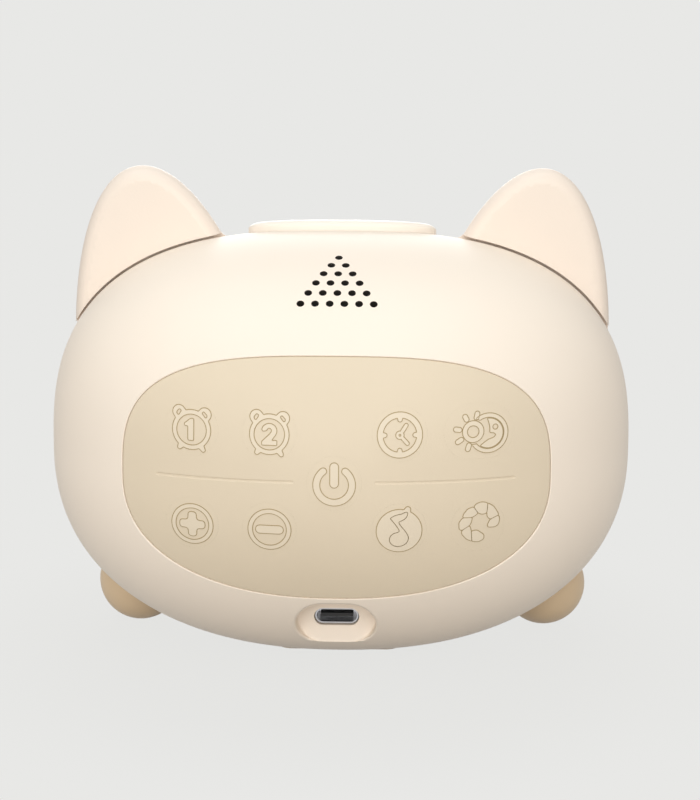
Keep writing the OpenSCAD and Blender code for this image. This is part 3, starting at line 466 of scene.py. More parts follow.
def key_outline(key, outset=0.0):
    width = long_key if key == "sun_moon" else 2 * key_radius
    return stadium_ring(width, 2 * key_radius, outset) + np.array(key_places[key])


def tube_along(points, radius, n=20):
    points = np.array(points, float)
    rings = []
    for i, p in enumerate(points):
        run = points[min(i + 1, len(points) - 1)] - points[max(i - 1, 0)]
        rings.append(p + ring_across(run / np.linalg.norm(run), radius, n, (0.31, 0.94, 0.12)))
    return loft(rings, points[0], points[-1])


def pad_face_normals(p, tolerance=0.004):
    """The dome's normals for the keypad's face, and which points lie on that face."""
    n, _ = oval_normals(rear_oval, 0.0)(p - np.array([0, pad_sink, 0]))
    return n, np.abs(p[:, 1] - rear_y(p[:, 0], p[:, 2], pad_sink)) < tolerance


def pad_normals(p):
    n, on = pad_face_normals(p, 0.01)
    return n, on & (oval_share(pad_oval, p[:, 0], p[:, 2]) < 0.99)


pad_rings = [rear_ring(pad_edge * k * pad_fit, pad_sink)
             for k in np.linspace(0.04, 1 - pad_round / pad_reach, 26)]
pad_rings += [rear_ring(pad_edge * (1 - out / pad_reach) * pad_fit, pad_sink + down)
              for out, down in rolled_edge(pad_round, (80, 60, 40, 20, 0))]
pad_rings += [rear_ring(pad_edge * k * pad_fit, pad_recess) for k in (1.0, 0.9, 0.7, 0.5, 0.3, 0.1)]
pad = make_piece("keypad_moulding", loft(pad_rings, (0, rear_y(0, 0, pad_sink), 0),
                                         (0, rear_y(0, 0, pad_recess), 0)))

# Each groove is the sunk part of a thin tube, which climbs out of the face at its ends.
tube_radius, groove_sink, groove_steps = 0.46, 0.14, 60
grooves = []
for (x0, z0), (x1, z1) in (((-36.1, 1.0), (-7.8, 1.3)), ((7.8, 1.3), (36.1, 1.0))):
    x, z = np.linspace(x0, x1, groove_steps), np.linspace(z0, z1, groove_steps)
    rise = tube_radius + 0.16 * (np.abs(np.linspace(-1, 1, groove_steps)) > 0.97)
    line = np.stack([x, rear_y(x, z, pad_sink) - rise + groove_sink, z], 1)
    grooves.append(tube_along(line, tube_radius))
key_cuts = [straight_bar(key_outline(key, key_play), key_cut_start, key_cut_end, place)
            for key, place in key_places.items()]
combine(pad, [make_piece("groove_cut", *grooves), make_piece("key_cut", *key_cuts)], "DIFFERENCE")
shade(pad, 32, pad_normals)
dress(pad, silicone("sand_silicone", (0.75, 0.64, 0.485)), ["keypad_mat"])

# ----------------------------------------
# Keys. Nine domes of the same silicone with a post behind each, pressed straight in. Their signs
# are raised bands, a lighter tone as painted highlight, inside fine dark outlines that are painted
# shade for the grooves round them: alarms 1 and 2, time, sun and moon, power, plus, minus, sound and light.
key_silicone = silicone("key_silicone", (0.75, 0.64, 0.485))
# A lighter tone of the key silicone: painted highlight on the raised bands of the signs.
highlit_band_silicone = silicone("highlit_band_silicone", (0.785, 0.68, 0.53))
# A dark tone of the key silicone: painted shade that stands for the fine grooves round each sign's bands.
painted_groove_shade = silicone("painted_groove_shade", (0.40, 0.30, 0.155))
key_thick, post_radius, post_root, post_tip_y = 0.8, 2.0, 0.5, -32.95
band_height, line_width, line_height = 0.07, 0.23, 0.085


def circle(r, n=96, centre=(0, 0)):
    t = np.linspace(0, 2 * np.pi, n, endpoint=False)
    return np.stack([np.cos(t) * r + centre[0], np.sin(t) * r + centre[1]], 1)


def soft_path(points, closed=True, steps=7):
    """A smooth curve through a few points."""
    p = np.array(points, float)
    n = len(p)
    out = []
    for i in range(n if closed else n - 1):
        a, b, c, d = [p[(i + k) % n] if closed else p[min(max(i + k, 0), n - 1)] for k in (-1, 0, 1, 2)]
        for u in np.arange(steps) / steps:
            out.append(0.5 * (2 * b + (c - a) * u + (2 * a - 5 * b + 4 * c - d) * u ** 2
                              + (3 * b - 3 * c + d - a) * u ** 3))
    if not closed:
        out.append(p[-1])
    return np.array(out)


def closely_spaced(outline, gap=0.35):
    """The closed outline with more points along its straight runs."""
    dense = []
    for a, b in zip(outline, [*outline[1:], outline[0]]):
        k = max(1, int(np.linalg.norm(b - a) / gap))
        dense += [a + (b - a) * j / k for j in range(k)]
    return np.array(dense)


def cornered(points, radius, steps=4):
    """A closed outline with each corner rounded."""
    p = np.array(points, float)
    out = []
    for i, b in enumerate(p):
        a, c = p[i - 1], p[(i + 1) % len(p)]
        cut = min(radius, 0.48 * np.linalg.norm(a - b), 0.48 * np.linalg.norm(c - b))
        s, e = [b + (far - b) / np.linalg.norm(far - b) * cut for far in (a, c)]
        out += [(1 - u) ** 2 * s + 2 * u * (1 - u) * b + u ** 2 * e for u in np.linspace(0, 1, steps + 1)]
    return closely_spaced(out)


def capsule(a, b, width, n=10):
    """A straight bar with round ends."""
    a, b = np.array(a, float), np.array(b, float)
    turn = math.atan2(*(b - a)[::-1])
    out = []
    for end, start in ((b, turn - math.pi / 2), (a, turn + math.pi / 2)):
        out += [end + width / 2 * np.array([math.cos(start + u), math.sin(start + u)])
                for u in np.linspace(0, math.pi, n)]
    return closely_spaced(out)


def arc_band(radius, width, start, end, centre=(0, 0), n=60):
    """A band along an arc with round ends, angles in degrees."""
    t = np.radians(np.linspace(start, end, n))
    ray = np.stack([np.cos(t), np.sin(t)], 1)
    caps = []
    for i, base in ((-1, 0.0), (0, math.pi)):
        u = t[i] + base + np.linspace(0, math.pi, 10)[1:-1]
        caps.append(radius * ray[i] + width / 2 * np.stack([np.cos(u), np.sin(u)], 1))
    outer, inner = ray * (radius + width / 2), ray[::-1] * (radius - width / 2)
    return np.concatenate([outer, caps[0], inner, caps[1]]) + np.array(centre)


def merged(base, bumps, soften, inward=False, n=240):
    """A round outline that takes in round bumps, each (x, z, radius), or gives way to them."""
    t = np.linspace(0, 2 * np.pi, n, endpoint=False)
    r = np.full(n, float(base))
    for x, z, bump_radius in bumps:
        far = math.hypot(x, z)
        turn = np.angle(np.exp(1j * (t - math.atan2(z, x))))
        side = bump_radius ** 2 - (far * np.sin(turn)) ** 2
        hit = (side > 0) & (np.cos(turn) > 0)
        root = np.sqrt(np.maximum(side, 0))
        if inward:
            r = np.where(hit, np.minimum(r, far * np.cos(turn) - root), r)
        else:
            r = np.where(hit, np.maximum(r, far * np.cos(turn) + root), r)
    for _ in range(soften):
        r = (np.roll(r, 1) + 2 * r + np.roll(r, -1)) / 4
    return np.stack([np.cos(t) * r, np.sin(t) * r], 1)


def bumps_along(angle, distances, radius):
    a = math.radians(angle)
    return [(d * math.cos(a), d * math.sin(a), radius) for d in distances]


def arc(centre, radius_x, radius_z, start, end, n=16):
    t = np.radians(np.linspace(start, end, n))
    return [(centre[0] + radius_x * math.cos(a), centre[1] + radius_z * math.sin(a)) for a in t]


# Each sign is a list of raised shapes, and each shape is its outline and the holes in it.
def alarm_sign(figure):
    legs = bumps_along(-124, (3.4, 3.7, 4.0, 4.25), 0.5) + bumps_along(-58, (3.4, 3.8, 4.2, 4.45), 0.5)
    bells = [(-2.55, 3.35, 1.32), (2.65, 3.1, 1.32)]
    windows = [cornered([(-3.1, 3.3), (-2.5, 3.95), (-2.05, 3.6), (-2.6, 2.75), (-2.95, 2.8)], 0.3),
               cornered([(3.2, 2.95), (2.45, 3.7), (2.1, 3.35), (2.75, 2.5), (3.05, 2.5)], 0.3)]
    return [(merged(3.9, bells + legs, soften=1), [circle(3.03), *windows]), (figure, [])]


one = cornered([(-1.5, 1.15), (-0.2, 2.2), (0.45, 2.2), (0.45, -2.1), (-0.75, -2.1), (-0.75, 0.75),
                (-1.35, 0.7)], 0.28)
two = cornered([*arc((0, 0.7), 1.5, 1.4, 172, -32), (0.5, -1.15), (1.5, -1.15), (1.5, -2.1),
                (-1.5, -2.1), (-1.5, -1.4), (0.1, 0.1), *arc((0, 0.73), 0.46, 0.46, -20, 168, 8),
                (-0.7, 0.65), (-1.3, 0.6)], 0.2)
dial = merged(3.3, [(0, 3.0, 0.46), (3.0, 0, 0.46), (0, -3.0, 0.46), (-3.0, 0, 0.46)], soften=0,
              inward=True)
hand_steps = (1.0, 1.4, 1.8, 2.2)
hands = merged(0.8, bumps_along(57, hand_steps, 0.4) + bumps_along(-48, hand_steps, 0.38), soften=1)
note = soft_path([(-1.67, 2.72), (-0.7, 3.3), (0.49, 3.58), (1.3, 3.92), (1.64, 3.75), (1.55, 3.1),
                  (1.15, 2.55), (0.5, 2.15), (-0.05, 1.8), (0.45, 0.9), (1.2, -0.05), (1.72, -1.0),
                  (1.82, -1.8), (1.35, -2.75), (0.1, -3.35), (-1.2, -3.05), (-1.88, -2.15),
                  (-1.72, -1.15), (-1.1, -0.55), (-0.35, -0.3), (0.0, 0.05), (-0.6, 1.15),
                  (-1.5, 2.35)])
sun_middle, moon_middle = np.array([-1.2, 0.0]), np.array([1.85, -0.45])
ray_start, ray_width = 2.75, 0.96
sun = [(circle(2.12, 64, sun_middle), [circle(1.16, 48, sun_middle)])]
for angle, reach in ((77, 4.0), (119, 3.85), (170, 3.95), (212, 4.05), (253, 4.0)):
    v = np.array([math.cos(math.radians(angle)), math.sin(math.radians(angle))])
    ends = [sun_middle + v * far for far in (ray_start, reach - ray_width / 2)]
    sun.append((capsule(*ends, ray_width), []))


def moon_arc(radius, start, end, clear=2.35):
    """The part of a ring round the moon that stays clear of the sun."""
    p = np.array(arc(moon_middle, radius, radius, start, end, 90))
    return p[np.linalg.norm(p - sun_middle, axis=1) > clear]


sleeper = cornered([*arc(moon_middle, 2.9, 2.9, -124, 95, 30), (1.95, 1.4), (2.12, 0.6), (2.1, -0.35),
                    (3.0, -0.5), (3.35, -0.9), (2.85, -1.4), (1.9, -1.65), (1.2, -2.1)], 0.2)
moon = [(np.concatenate([moon_arc(3.88, 180, -180), moon_arc(3.08, -180, 180)]), []),
        (sleeper, [circle(0.52, 32, (3.2, 0.7))])]
leaves = [
    [(-1.28, -0.98), (-0.15, -0.85), (1.28, -1.96), (1.25, -2.95), (0.15, -3.48), (-1.15, -3.27)],
    [(-1.6, 0.2), (-1.28, -0.98), (-1.15, -3.27), (-2.23, -2.69), (-3.23, -1.51), (-3.2, -0.75)],
    [(-3.05, 1.93), (-1.12, 1.87), (-1.23, 1.12), (-1.6, 0.2), (-3.2, -0.75), (-3.72, -0.46), (-3.8, 0.98)],
    [(-0.9, 4.1), (0.05, 2.65), (-1.12, 1.87), (-3.05, 1.93), (-2.95, 2.6), (-2.1, 3.7)],
    [(-0.9, 4.1), (-0.23, 4.75), (0.78, 5.0), (1.95, 4.68), (1.75, 2.56), (0.95, 2.35), (0.05, 2.65)],
    [(1.95, 4.68), (3.15, 3.87), (4.0, 2.45), (4.12, 1.93), (2.4, 1.18), (1.85, 1.77), (1.75, 2.56)],
    [(4.12, 1.93), (4.38, 1.2), (4.15, -0.07), (3.4, -0.54), (2.03, -0.46), (1.9, 0.07), (2.4, 1.18)],
]
arm, arm_end = 0.85, 2.6
quarter, arms = [(-arm, arm_end), (arm, arm_end), (arm, arm)], []
for _ in range(4):
    arms += quarter
    quarter = [(z, -x) for x, z in quarter]
cross = cornered(arms, 0.75)
signs = {
    "alarm1": alarm_sign(one),
    "alarm2": alarm_sign(two),
    "time": [(circle(4.42), [dial]), (hands, [circle(0.2, 16)])],
    "sun_moon": sun + moon,
    "power": [(arc_band(3.5, 1.35, 128, 412, (0, -0.1)), []), (capsule((0, 0.2), (0, 3.5), 1.7), [])],
    "plus": [(circle(4.25), [circle(3.38)]), (cross, [])],
    "minus": [(circle(4.28), [circle(3.38)]), (capsule((-1.9, 0), (1.9, 0), 1.75), [])],
    "sound": [(merged(4.5, bumps_along(69.5, (4.0, 4.25, 4.5, 4.75), 0.6), soften=1), [note]), (note, [])],
    "light": [(cornered(leaf, 0.4), []) for leaf in leaves],
}
# A sign stands this much lower than the middle of its key.
sign_drop = {"sun_moon": 0.0, "light": 0.0, "time": 0.15}
usual_drop = 0.25


def within(loops, spots):
    """Which spots lie inside an outline and outside its holes."""
    odd = np.zeros(len(spots), bool)
    for loop in loops:
        for (ax, az), (bx, bz) in zip(loop, np.roll(loop, -1, 0)):
            crosses = (az > spots[:, 1]) != (bz > spots[:, 1])
            odd ^= crosses & (spots[:, 0] < (bx - ax) * (spots[:, 1] - az) / ((bz - az) or 1) + ax)
    return odd


def raised_band(outline, holes, place, spacing=0.5):
    """A flat-topped band over the key's surface between an outline and its holes."""
    loops = [np.array(loop, float) for loop in (outline, *holes)]
    flat = np.concatenate(loops)
    rims, first = [], 0
    for loop in loops:
        rims += [(first + i, first + (i + 1) % len(loop)) for i in range(len(loop))]
        first += len(loop)
    x, z = [np.arange(*ends, spacing) for ends in zip(flat.min(0), flat.max(0))]
    grid = np.stack(np.meshgrid(x, z), -1).reshape(-1, 2)
    grid = grid[within(loops, grid)]
    if len(grid):
        grid = grid[np.linalg.norm(grid[:, None] - flat, axis=2).min(1) > spacing / 2]
    made = delaunay_2d_cdt([Vector(v) for v in np.concatenate([flat, grid])], rims, [], 0, 1e-6)
    spots, tops = np.array([v[:] for v in made[0]]), np.array(made[2])
    tops = tops[within(loops, spots[tops].mean(1))].tolist()
    top = rear_ring(spots + place, pad_sink - band_height)
    under = rear_ring(spots + place, pad_sink + 0.05)
    sides = Counter(tuple(sorted((face[i - 1], face[i]))) for face in tops for i in range(3))
    walls = [(a, b, b + len(top), a + len(top)) for (a, b), uses in sides.items() if uses == 1]
    return [tuple(v) for v in np.concatenate([top, under])], [tuple(face) for face in tops] + walls


def painted_shade_line(outline, place):
    """A fine rounded dark line along a closed outline: painted shade for the groove round a sign's band."""
    p = np.array(outline)
    run = np.roll(p, -1, 0) - np.roll(p, 1, 0)
    run /= np.maximum(np.linalg.norm(run, axis=1), 1e-9)[:, None]
    side = np.stack([run[:, 1], -run[:, 0]], 1)
    return loft([rear_ring(p + side * line_width * across + place, pad_sink - up)
                 for across, up in ((-0.5, -0.04), (-0.3, line_height), (0.3, line_height), (0.5, -0.04))],
                loop=True)


for key, (x, z) in key_places.items():
    body, centre = "key_" + key, np.array([x, z])
    edge = key_outline(key) - centre
    rings = [rear_ring(edge * k + centre, pad_sink) for k in np.linspace(0.08, 1, 14)]
    rings += [rear_ring(edge * k + centre, pad_sink + key_thick) for k in (1.0, 0.6, 0.38)]
    top_y = rear_y(x, z, pad_sink)
    post = circle(post_radius, 48, centre)
    cap = make_piece("key_cap_" + key, loft(rings, (x, top_y, z), (x, top_y + key_thick, z)),
                     loft([rear_ring(post, pad_sink + post_root), level_ring(post, post_tip_y)],
                          (x, top_y + post_root, z), (x, post_tip_y, z)))
    shade(cap, 35, pad_face_normals)
    dress(cap, key_silicone, [body], body)
    place = centre - [0, sign_drop.get(key, usual_drop)]
    bands = make_piece("sign_" + key, *[raised_band(*shape, place) for shape in signs[key]])
    shade(bands, 30)
    dress(bands, highlit_band_silicone, body=body)
    # Dark lines along every outline and hole of a sign: painted shade for the grooves round its bands.
    loops = [loop for outline, holes in signs[key] for loop in (outline, *holes)]
    lines = make_piece("sign_lines_" + key, *[painted_shade_line(loop, place) for loop in loops])
    shade(lines, 60)
    dress(lines, painted_groove_shade, body=body)

# ----------------------------------------
# Key board. A green glass-laminate board with nine push switches, one behind each key's post,
# screwed to four bosses in the rear shell.


def circuit_board(name, mask, track):
    """Solder mask over copper tracks that run in straight lines and show faintly."""
    material = grained_plastic(name, mask, 0.35, 0.1)
    nodes, links = material.node_tree.nodes, material.node_tree.links
    shader = set_inputs(nodes["Principled BSDF"], Coat_Weight=0.3)
    tracks = add_node(nodes, "TexBrick", Scale=260, Mortar_Size=0.06, Color1=(*mask, 1),
                      Color2=(*[c * 0.9 for c in mask], 1), Mortar=(*track, 1))
    wire(links, (nodes["Texture Coordinate"], "Object", tracks, "Vector"),
         (tracks, "Color", shader, "Base Color"))
    return material


green_board = circuit_board("green_board", (0.02, 0.13, 0.055), (0.03, 0.2, 0.09))
black_nylon = grained_plastic("black_nylon", (0.012, 0.012, 0.013), 0.4)
finish_nodes(key_board=green_board, key_switches=black_nylon)

# ----------------------------------------
# Main board and charging socket. The board lies low in the case on four bosses. Its socket has a
# drawn steel shell round a black tongue, and reaches into the slot in the pocket's floor.
nickel_shell = pressed_metal("nickel_shell", (0.6, 0.6, 0.62), 0.3, 0.08)
tongue_plastic = grained_plastic("tongue_plastic", (0.007, 0.007, 0.0075), 0.5)
epoxy_black = grained_plastic("epoxy_black", (0.015, 0.015, 0.017), 0.55)
sleeve_brown = grained_plastic("sleeve_brown", (0.17, 0.075, 0.03), 0.35)
nylon_white = grained_plastic("nylon_white", (0.8, 0.77, 0.68), 0.45)
finish_nodes(main_board=green_board, socket_shell=nickel_shell, socket_tongue=tongue_plastic,
             main_chips=epoxy_black, main_parts=sleeve_brown, main_plugs=nylon_white)

# ----------------------------------------
# Belly pad. A soft rubber pad pressed into a recess under the rear shell, which carries the back
# of the clock while the two ball feet carry its front.
pale_rubber = grained_plastic("pale_rubber", (0.7, 0.59, 0.47), 0.75, 0.8, 0.08)
finish_nodes(belly_pad=pale_rubber)

# ----------------------------------------
# Front shell. The front half of the case, with both hollow ears moulded on it, in the same ABS
# with a little more peach in it. The ears' backs are flat and stand at the parting line.
front_oval = (60.65, 45.25, 43.55, 2.69, 2.26, 29.6)
front_inside = (58.25, 42.85, 41.15, 2.69, 2.26, 27.2)
tongue_out = (58.45, 43.05, 41.35, 2.69, 2.26, 0.0)
tongue_in = (57.15, 41.75, 40.05, 2.69, 2.26, 0.0)
front_y, front_round, tongue_y = 1.35, 0.25, -1.2
lens_oval = (35.0, 22.0, 21.0, 2.6, 2.6, 0.0)
lens_reach, lens_thick, lens_seat = 28, 1.2, 0.94
peach_shell = grained_plastic("peach_shell", (0.87, 0.755, 0.65), 0.46, 0.3, 0.015)


def front_skin_y(x, z, inward=0.0, oval=front_oval):
    return front_y + dome_depth(oval, x, z) - inward


def front_ring(flat, inward=0.0, oval=front_oval):
    return level_ring(flat, front_skin_y(flat[:, 0], flat[:, 1], inward, oval))


# The skin runs from the window's ledge over the dome to the rim, round the tongue and back inside.
front_edge, front_inside_edge, tongue_out_edge, tongue_in_edge, lens_edge = [
    oval_edge(oval) for oval in (front_oval, front_inside, tongue_out, tongue_in, lens_oval)]
ledge_edge, opening_edge = lens_edge * lens_seat, lens_edge * (1 + front_round / lens_reach)
front_rings = [front_ring(ledge_edge, lens_thick + 0.8), front_ring(ledge_edge, lens_thick),
               front_ring(lens_edge, lens_thick), front_ring(lens_edge, front_round)]
front_rings += [front_ring(lens_edge * (1 + out / lens_reach), down)
                for out, down in rolled_edge(front_round, (30, 60, 90))]
front_rings += [front_ring((1 - e) * opening_edge + e * front_edge) for e in rounded_shares(46)]
front_rings += [level_ring(front_edge * (1 - out / case_reach), front_y + down)
                for out, down in rolled_edge(front_round, (0, 30, 60, 90))]
front_rings += [level_ring(tongue_out_edge, front_y), level_ring(tongue_out_edge, tongue_y),
                level_ring(tongue_in_edge, tongue_y), level_ring(tongue_in_edge, front_y + 1.5)]
front_rings += [front_ring((1 - e) * ledge_edge + e * front_inside_edge, 0.0, front_inside)
                for e in (0.97, 0.9, 0.78, 0.6, 0.4, 0.2)]
front_shell = make_piece("front_case", loft(flat_belly(front_rings), loop=True))


def square_ring(x0, x1, z0, z1):
    return np.array([[x0, z0], [x1, z0], [x1, z1], [x0, z1]], float)


# The tongue stops short at the crown, where the snooze button's post and tabs come down.
tongue_gap = make_piece("tongue_gap", straight_bar(square_ring(-21, 21, 35, 60), -5, 1.2, (0, 47)))
combine(front_shell, [button_slot("front_notch"), tongue_gap], "DIFFERENCE")
shade(front_shell, 32, oval_normals(front_oval, front_y))

# An ear is a leaning oval that narrows toward its front. Each step is how far in front of the
# seam it lies, and how far the ear's edge has drawn in there.
ear_middle_x, ear_middle_z, ear_lean = 32.7, -1.3, math.radians(10.2)
ear_half_w, ear_half_h, ear_deep, ridge_soft = 21.82, 60.62, 15.0, 2.0
ear_steps = [(0.0, 3.0), (0.25, 1.75), (0.9, 0.85), (1.8, 0.25), (3.0, 0.0), (6.3, 0.6), (9.75, 2.6),
             (12.6, 6.2), (14.4, 11.5), (14.95, 16.0)]
ear_curve = soft_path(ear_steps, False, 12)
ear_run = np.concatenate([[0], np.cumsum(np.linalg.norm(np.diff(ear_curve, axis=0), axis=1))])
even_run = np.linspace(0, ear_run[-1], 400)
edge_y, edge_inset = [np.interp(even_run, ear_run, ear_curve[:, k]) for k in (0, 1)]
edge_tilt = np.clip(np.gradient(edge_inset) / np.maximum(np.gradient(edge_y), 1e-3), -6, 6)


def front_distance(p):
    """Roughly how far points lie outside the front dome."""
    y = np.maximum(p[:, 1] - front_y, 0)
    share, gx, gz = share_and_growth(front_oval, p[:, 0], p[:, 2])
    level = np.sqrt(share ** 2 + (y / front_oval[5]) ** 2)
    slope = np.sqrt(gx ** 2 + gz ** 2 + (y / front_oval[5] ** 2) ** 2) / np.maximum(level, 1e-6)
    return (level - 1) / np.maximum(slope, 1e-6)


def ear_distance(p):
    """Roughly how far points lie outside the right ear, with a soft ridge round its front."""
    y = p[:, 1] - front_y
    inset = np.interp(y, edge_y, edge_inset)
    dx, dz = p[:, 0] - ear_middle_x, p[:, 2] - ear_middle_z
    u = dx * math.cos(ear_lean) - dz * math.sin(ear_lean)
    v = dx * math.sin(ear_lean) + dz * math.cos(ear_lean)
    a, b = np.maximum(ear_half_w - inset, 1), np.maximum(ear_half_h - inset, 1)
    r = np.sqrt((u / a) ** 2 + (v / b) ** 2)
    slope = np.sqrt((u / a ** 2) ** 2 + (v / b ** 2) ** 2) / np.maximum(r, 1e-6)
    away = (r - 1) / np.maximum(slope, 1e-6)
    side, front = away / np.sqrt(1 + np.interp(y, edge_y, edge_tilt) ** 2), y - ear_deep
    h = np.maximum(ridge_soft - np.abs(side - front), 0) / ridge_soft
    return np.maximum(side, front) + h * h * ridge_soft / 4


root_reach, root_grows_over, root_fade, root_fade_z = 3.2, 9.0, 0.04, 26
skin_dip, skin_deep, skirt = 0.6, 1.6, 2.5


def ear_and_root(p):
    """Below zero inside an ear and its soft root. The root fades out at the seam and down the
    sides, and past its edge the skin dips under the case's own skin, where the piece ends."""
    a, b = front_distance(p), ear_distance(p) + root_fade * np.maximum(root_fade_z - p[:, 2], 0) ** 2
    reach = root_reach * np.clip((p[:, 1] - front_y) / root_grows_over, 0.02, 1) ** 0.9
    h = np.maximum(reach - np.abs(a - b), 0) / reach
    skin = np.minimum(a, b) - h * h * reach / 4 + skin_dip * np.clip((b - a - reach) / 2, 0, 1)
    return np.maximum.reduce([skin, -skin_deep - a, b - reach - skirt, front_y - p[:, 1]])


def field_slope(field, p, step=0.02):
    return np.stack([(field(p + d) - field(p - d)) / (2 * step) for d in np.eye(3) * step], 1)


def skin_net(field, low, high, step):
    """The surface where a field is zero, as quads between one point for each cell it crosses."""
    count = np.round((np.array(high) - low) / step).astype(int) + 1
    lines = [low[k] + step * np.arange(count[k]) for k in range(3)]
    grid = np.stack(np.meshgrid(*lines, indexing="ij"), 3)
    value = field(grid.reshape(-1, 3)).reshape(count)
    total, number = np.zeros((np.prod(count + 1), 3)), np.zeros(np.prod(count + 1))
    quads = []
    for k in range(3):
        last = np.moveaxis(value, k, 0)
        crossed = np.argwhere(np.moveaxis((last[:-1] < 0) != (last[1:] < 0), 0, k))
        after = crossed + np.eye(3, dtype=int)[k]
        start, end = value[tuple(crossed.T)], value[tuple(after.T)]
        point = grid[tuple(crossed.T)].copy()
        point[:, k] += step * start / (start - end)
        around = []
        for du, dv in ((0, 0), (1, 0), (1, 1), (0, 1)):
            cell = after.copy()
            cell[:, (k + 1) % 3] += du
            cell[:, (k + 2) % 3] += dv
            around.append(np.ravel_multi_index(cell.T, count + 1))
            np.add.at(total, around[-1], point)
            np.add.at(number, around[-1], 1)
        quads.append(np.stack(around, 1))
    used = np.flatnonzero(number)
    order = np.zeros(len(number), int)
    order[used] = np.arange(len(used))
    p = total[used] / number[used, None]
    for _ in range(4):
        slope = field_slope(field, p)
        move = slope * (field(p) / np.maximum(np.sum(slope ** 2, 1), 0.3))[:, None]
        p -= np.clip(move, -step / 2, step / 2)
    return p, order[np.concatenate(quads)]


# A shadow groove in the ear's back follows the rear shell's outline.
groove_edge = oval_edge((61.45, 46.05, 44.35, 2.69, 2.26, 0.0), 720)
groove_start, groove_end = front_y - 2.0, front_y + 4.0
ear_low, ear_high, ear_step = (8.0, front_y - 1.0, -2.0), (66.0, front_y + 18.0, 63.0), 0.5
ear_points, ear_faces = skin_net(ear_and_root, ear_low, ear_high, ear_step)
for side, name in ((1, "ear_right"), (-1, "ear_left")):
    mirror = np.array([side, 1, 1])
    ear = make_piece(name, (ear_points * mirror, [tuple(map(int, f)) for f in ear_faces]))
    groove = make_piece("groove", straight_bar(groove_edge, groove_start, groove_end, (0, 0)))
    combine(ear, [groove, button_slot("ear_notch")], "DIFFERENCE")

    def ear_normals(p):
        n = field_slope(ear_and_root, p * mirror) * mirror
        n /= np.maximum(np.linalg.norm(n, axis=1), 1e-9)[:, None]
        return n, np.abs(ear_and_root(p * mirror)) < 0.02

    shade(ear, 40, ear_normals)
    dress(ear, peach_shell)
dress(front_shell, peach_shell, ["front_shell"])

# ----------------------------------------
# Lit face. An opal window snaps into the front shell over a white reflector tub. Behind it are
# the light board, ten warm diodes and the display, whose light pipes show plain figures.
opal = grained_plastic("opal", (0.9, 0.84, 0.74), 0.25, 0.15, 0.01, 0.12)
set_inputs(opal.node_tree.nodes["Principled BSDF"], Subsurface_Weight=0.3, Subsurface_Scale=0.002)
lens_fit, lens_round = 1 - 0.06 / lens_reach, 0.3
lens_rings = [front_ring(lens_edge * k * lens_fit)
              for k in np.linspace(0.04, 1 - lens_round / lens_reach, 26)]
lens_rings += [front_ring(lens_edge * lens_fit * (1 - out / lens_reach), down)
               for out, down in rolled_edge(lens_round, (60, 30, 0))]
lens_rings += [front_ring(lens_edge * k * lens_fit, lens_thick - 0.01) for k in (1.0, 0.8, 0.6, 0.4, 0.2)]
lens = make_piece("opal_window", loft(lens_rings, (0, front_skin_y(0, 0), 0),
                                      (0, front_skin_y(0, 0, lens_thick), 0)))
shade(lens, 32)
dress(lens, opal, ["face_lens"])

# The lit figures are thin domed bars on the window, each with a place and whether it is upright.
figure_glow = grained_plastic("figure_glow", (1.0, 0.8, 0.5), 0.3, 0.0, 0.02, 1.3)
segment_places = {"a": (0, 1, 0), "g": (0, 0, 0), "d": (0, -1, 0), "f": (-1, 0.5, 1), "b": (1, 0.5, 1),
                  "e": (-1, -0.5, 1), "c": (1, -0.5, 1)}
lit = {"7": "abc", "3": "abgcd", "0": "abcdef"}
figure_pitch, figure_half_w, upright_long, level_long, figures_z = 11.2, 3.25, 6.25, 6.5, 0.4
bar_half, bar_gap, figure_proud, dot_height, dot_radius = 0.7, 0.2, 0.014, 3, 0.8


def lit_patch(shape, middle, steps):
    """A thin dome on the window, whose rings shrink by a share as they rise."""
    middle = np.array(middle)
    rings = [front_ring(shape * k + middle, -rise) for k, rise in steps]
    return loft(rings, None, (middle[0], front_skin_y(*middle, -figure_proud), middle[1]))


patches = []
for column, figure in zip((-0.5, 0.5, 1.5), "730"):
    for segment in lit[figure]:
        sx, sz, upright = segment_places[segment]
        half = (upright_long if upright else level_long) / 2 - bar_gap
        bar = cornered([(-half, 0), (-half + bar_half, bar_half), (half - bar_half, bar_half), (half, 0),
                        (half - bar_half, -bar_half), (-half + bar_half, -bar_half)], 0.2)
        middle = (-column * figure_pitch - sx * figure_half_w, figures_z + sz * upright_long)
        patches.append(lit_patch(bar[:, ::-1] if upright else bar, middle,
                                 ((1.0, -0.05), (0.98, 0.012), (0.5, figure_proud))))
for z in (-dot_height, dot_height):
    patches.append(lit_patch(circle(dot_radius, 32), (0, figures_z + z), ((1.0, -0.05), (1.0, 0.012))))
figures = make_piece("lit_figures", *patches)
shade(figures, 40)
dress(figures, figure_glow)

white_board = circuit_board("white_board", (0.72, 0.72, 0.69), (0.6, 0.6, 0.57))
warm_diode = grained_plastic("warm_diode", (0.95, 0.8, 0.45), 0.2, 0.0, 0.05)
module_plastic = grained_plastic("module_plastic", (0.02, 0.02, 0.028), 0.45)
light_pipe = grained_plastic("light_pipe", (0.9, 0.86, 0.76), 0.2, 0.05)
white_tub = grained_plastic("white_tub", (0.86, 0.86, 0.83), 0.5)
finish_nodes(light_board=white_board, night_leds=warm_diode, reflector=white_tub,
             display_module=module_plastic, display_digits=light_pipe)

# ----------------------------------------
# Battery and wiring. A pouch cell on foam tape behind the light board, its red lead, the
# speaker's grey lead, and two flat film ribbons that join the boards.
pouch_wrap = grained_plastic("pouch_wrap", (0.32, 0.42, 0.52), 0.3, 0.6, 0.06)
red_lead = grained_plastic("red_lead", (0.36, 0.03, 0.02), 0.45)
grey_lead = grained_plastic("grey_lead", (0.05, 0.05, 0.055), 0.45)
film_ribbon = grained_plastic("film_ribbon", (0.76, 0.73, 0.66), 0.3)
finish_nodes(battery=pouch_wrap, battery_pad=dark_foam, battery_lead=red_lead, speaker_lead=grey_lead,
             key_ribbon=film_ribbon, light_ribbon=film_ribbon)

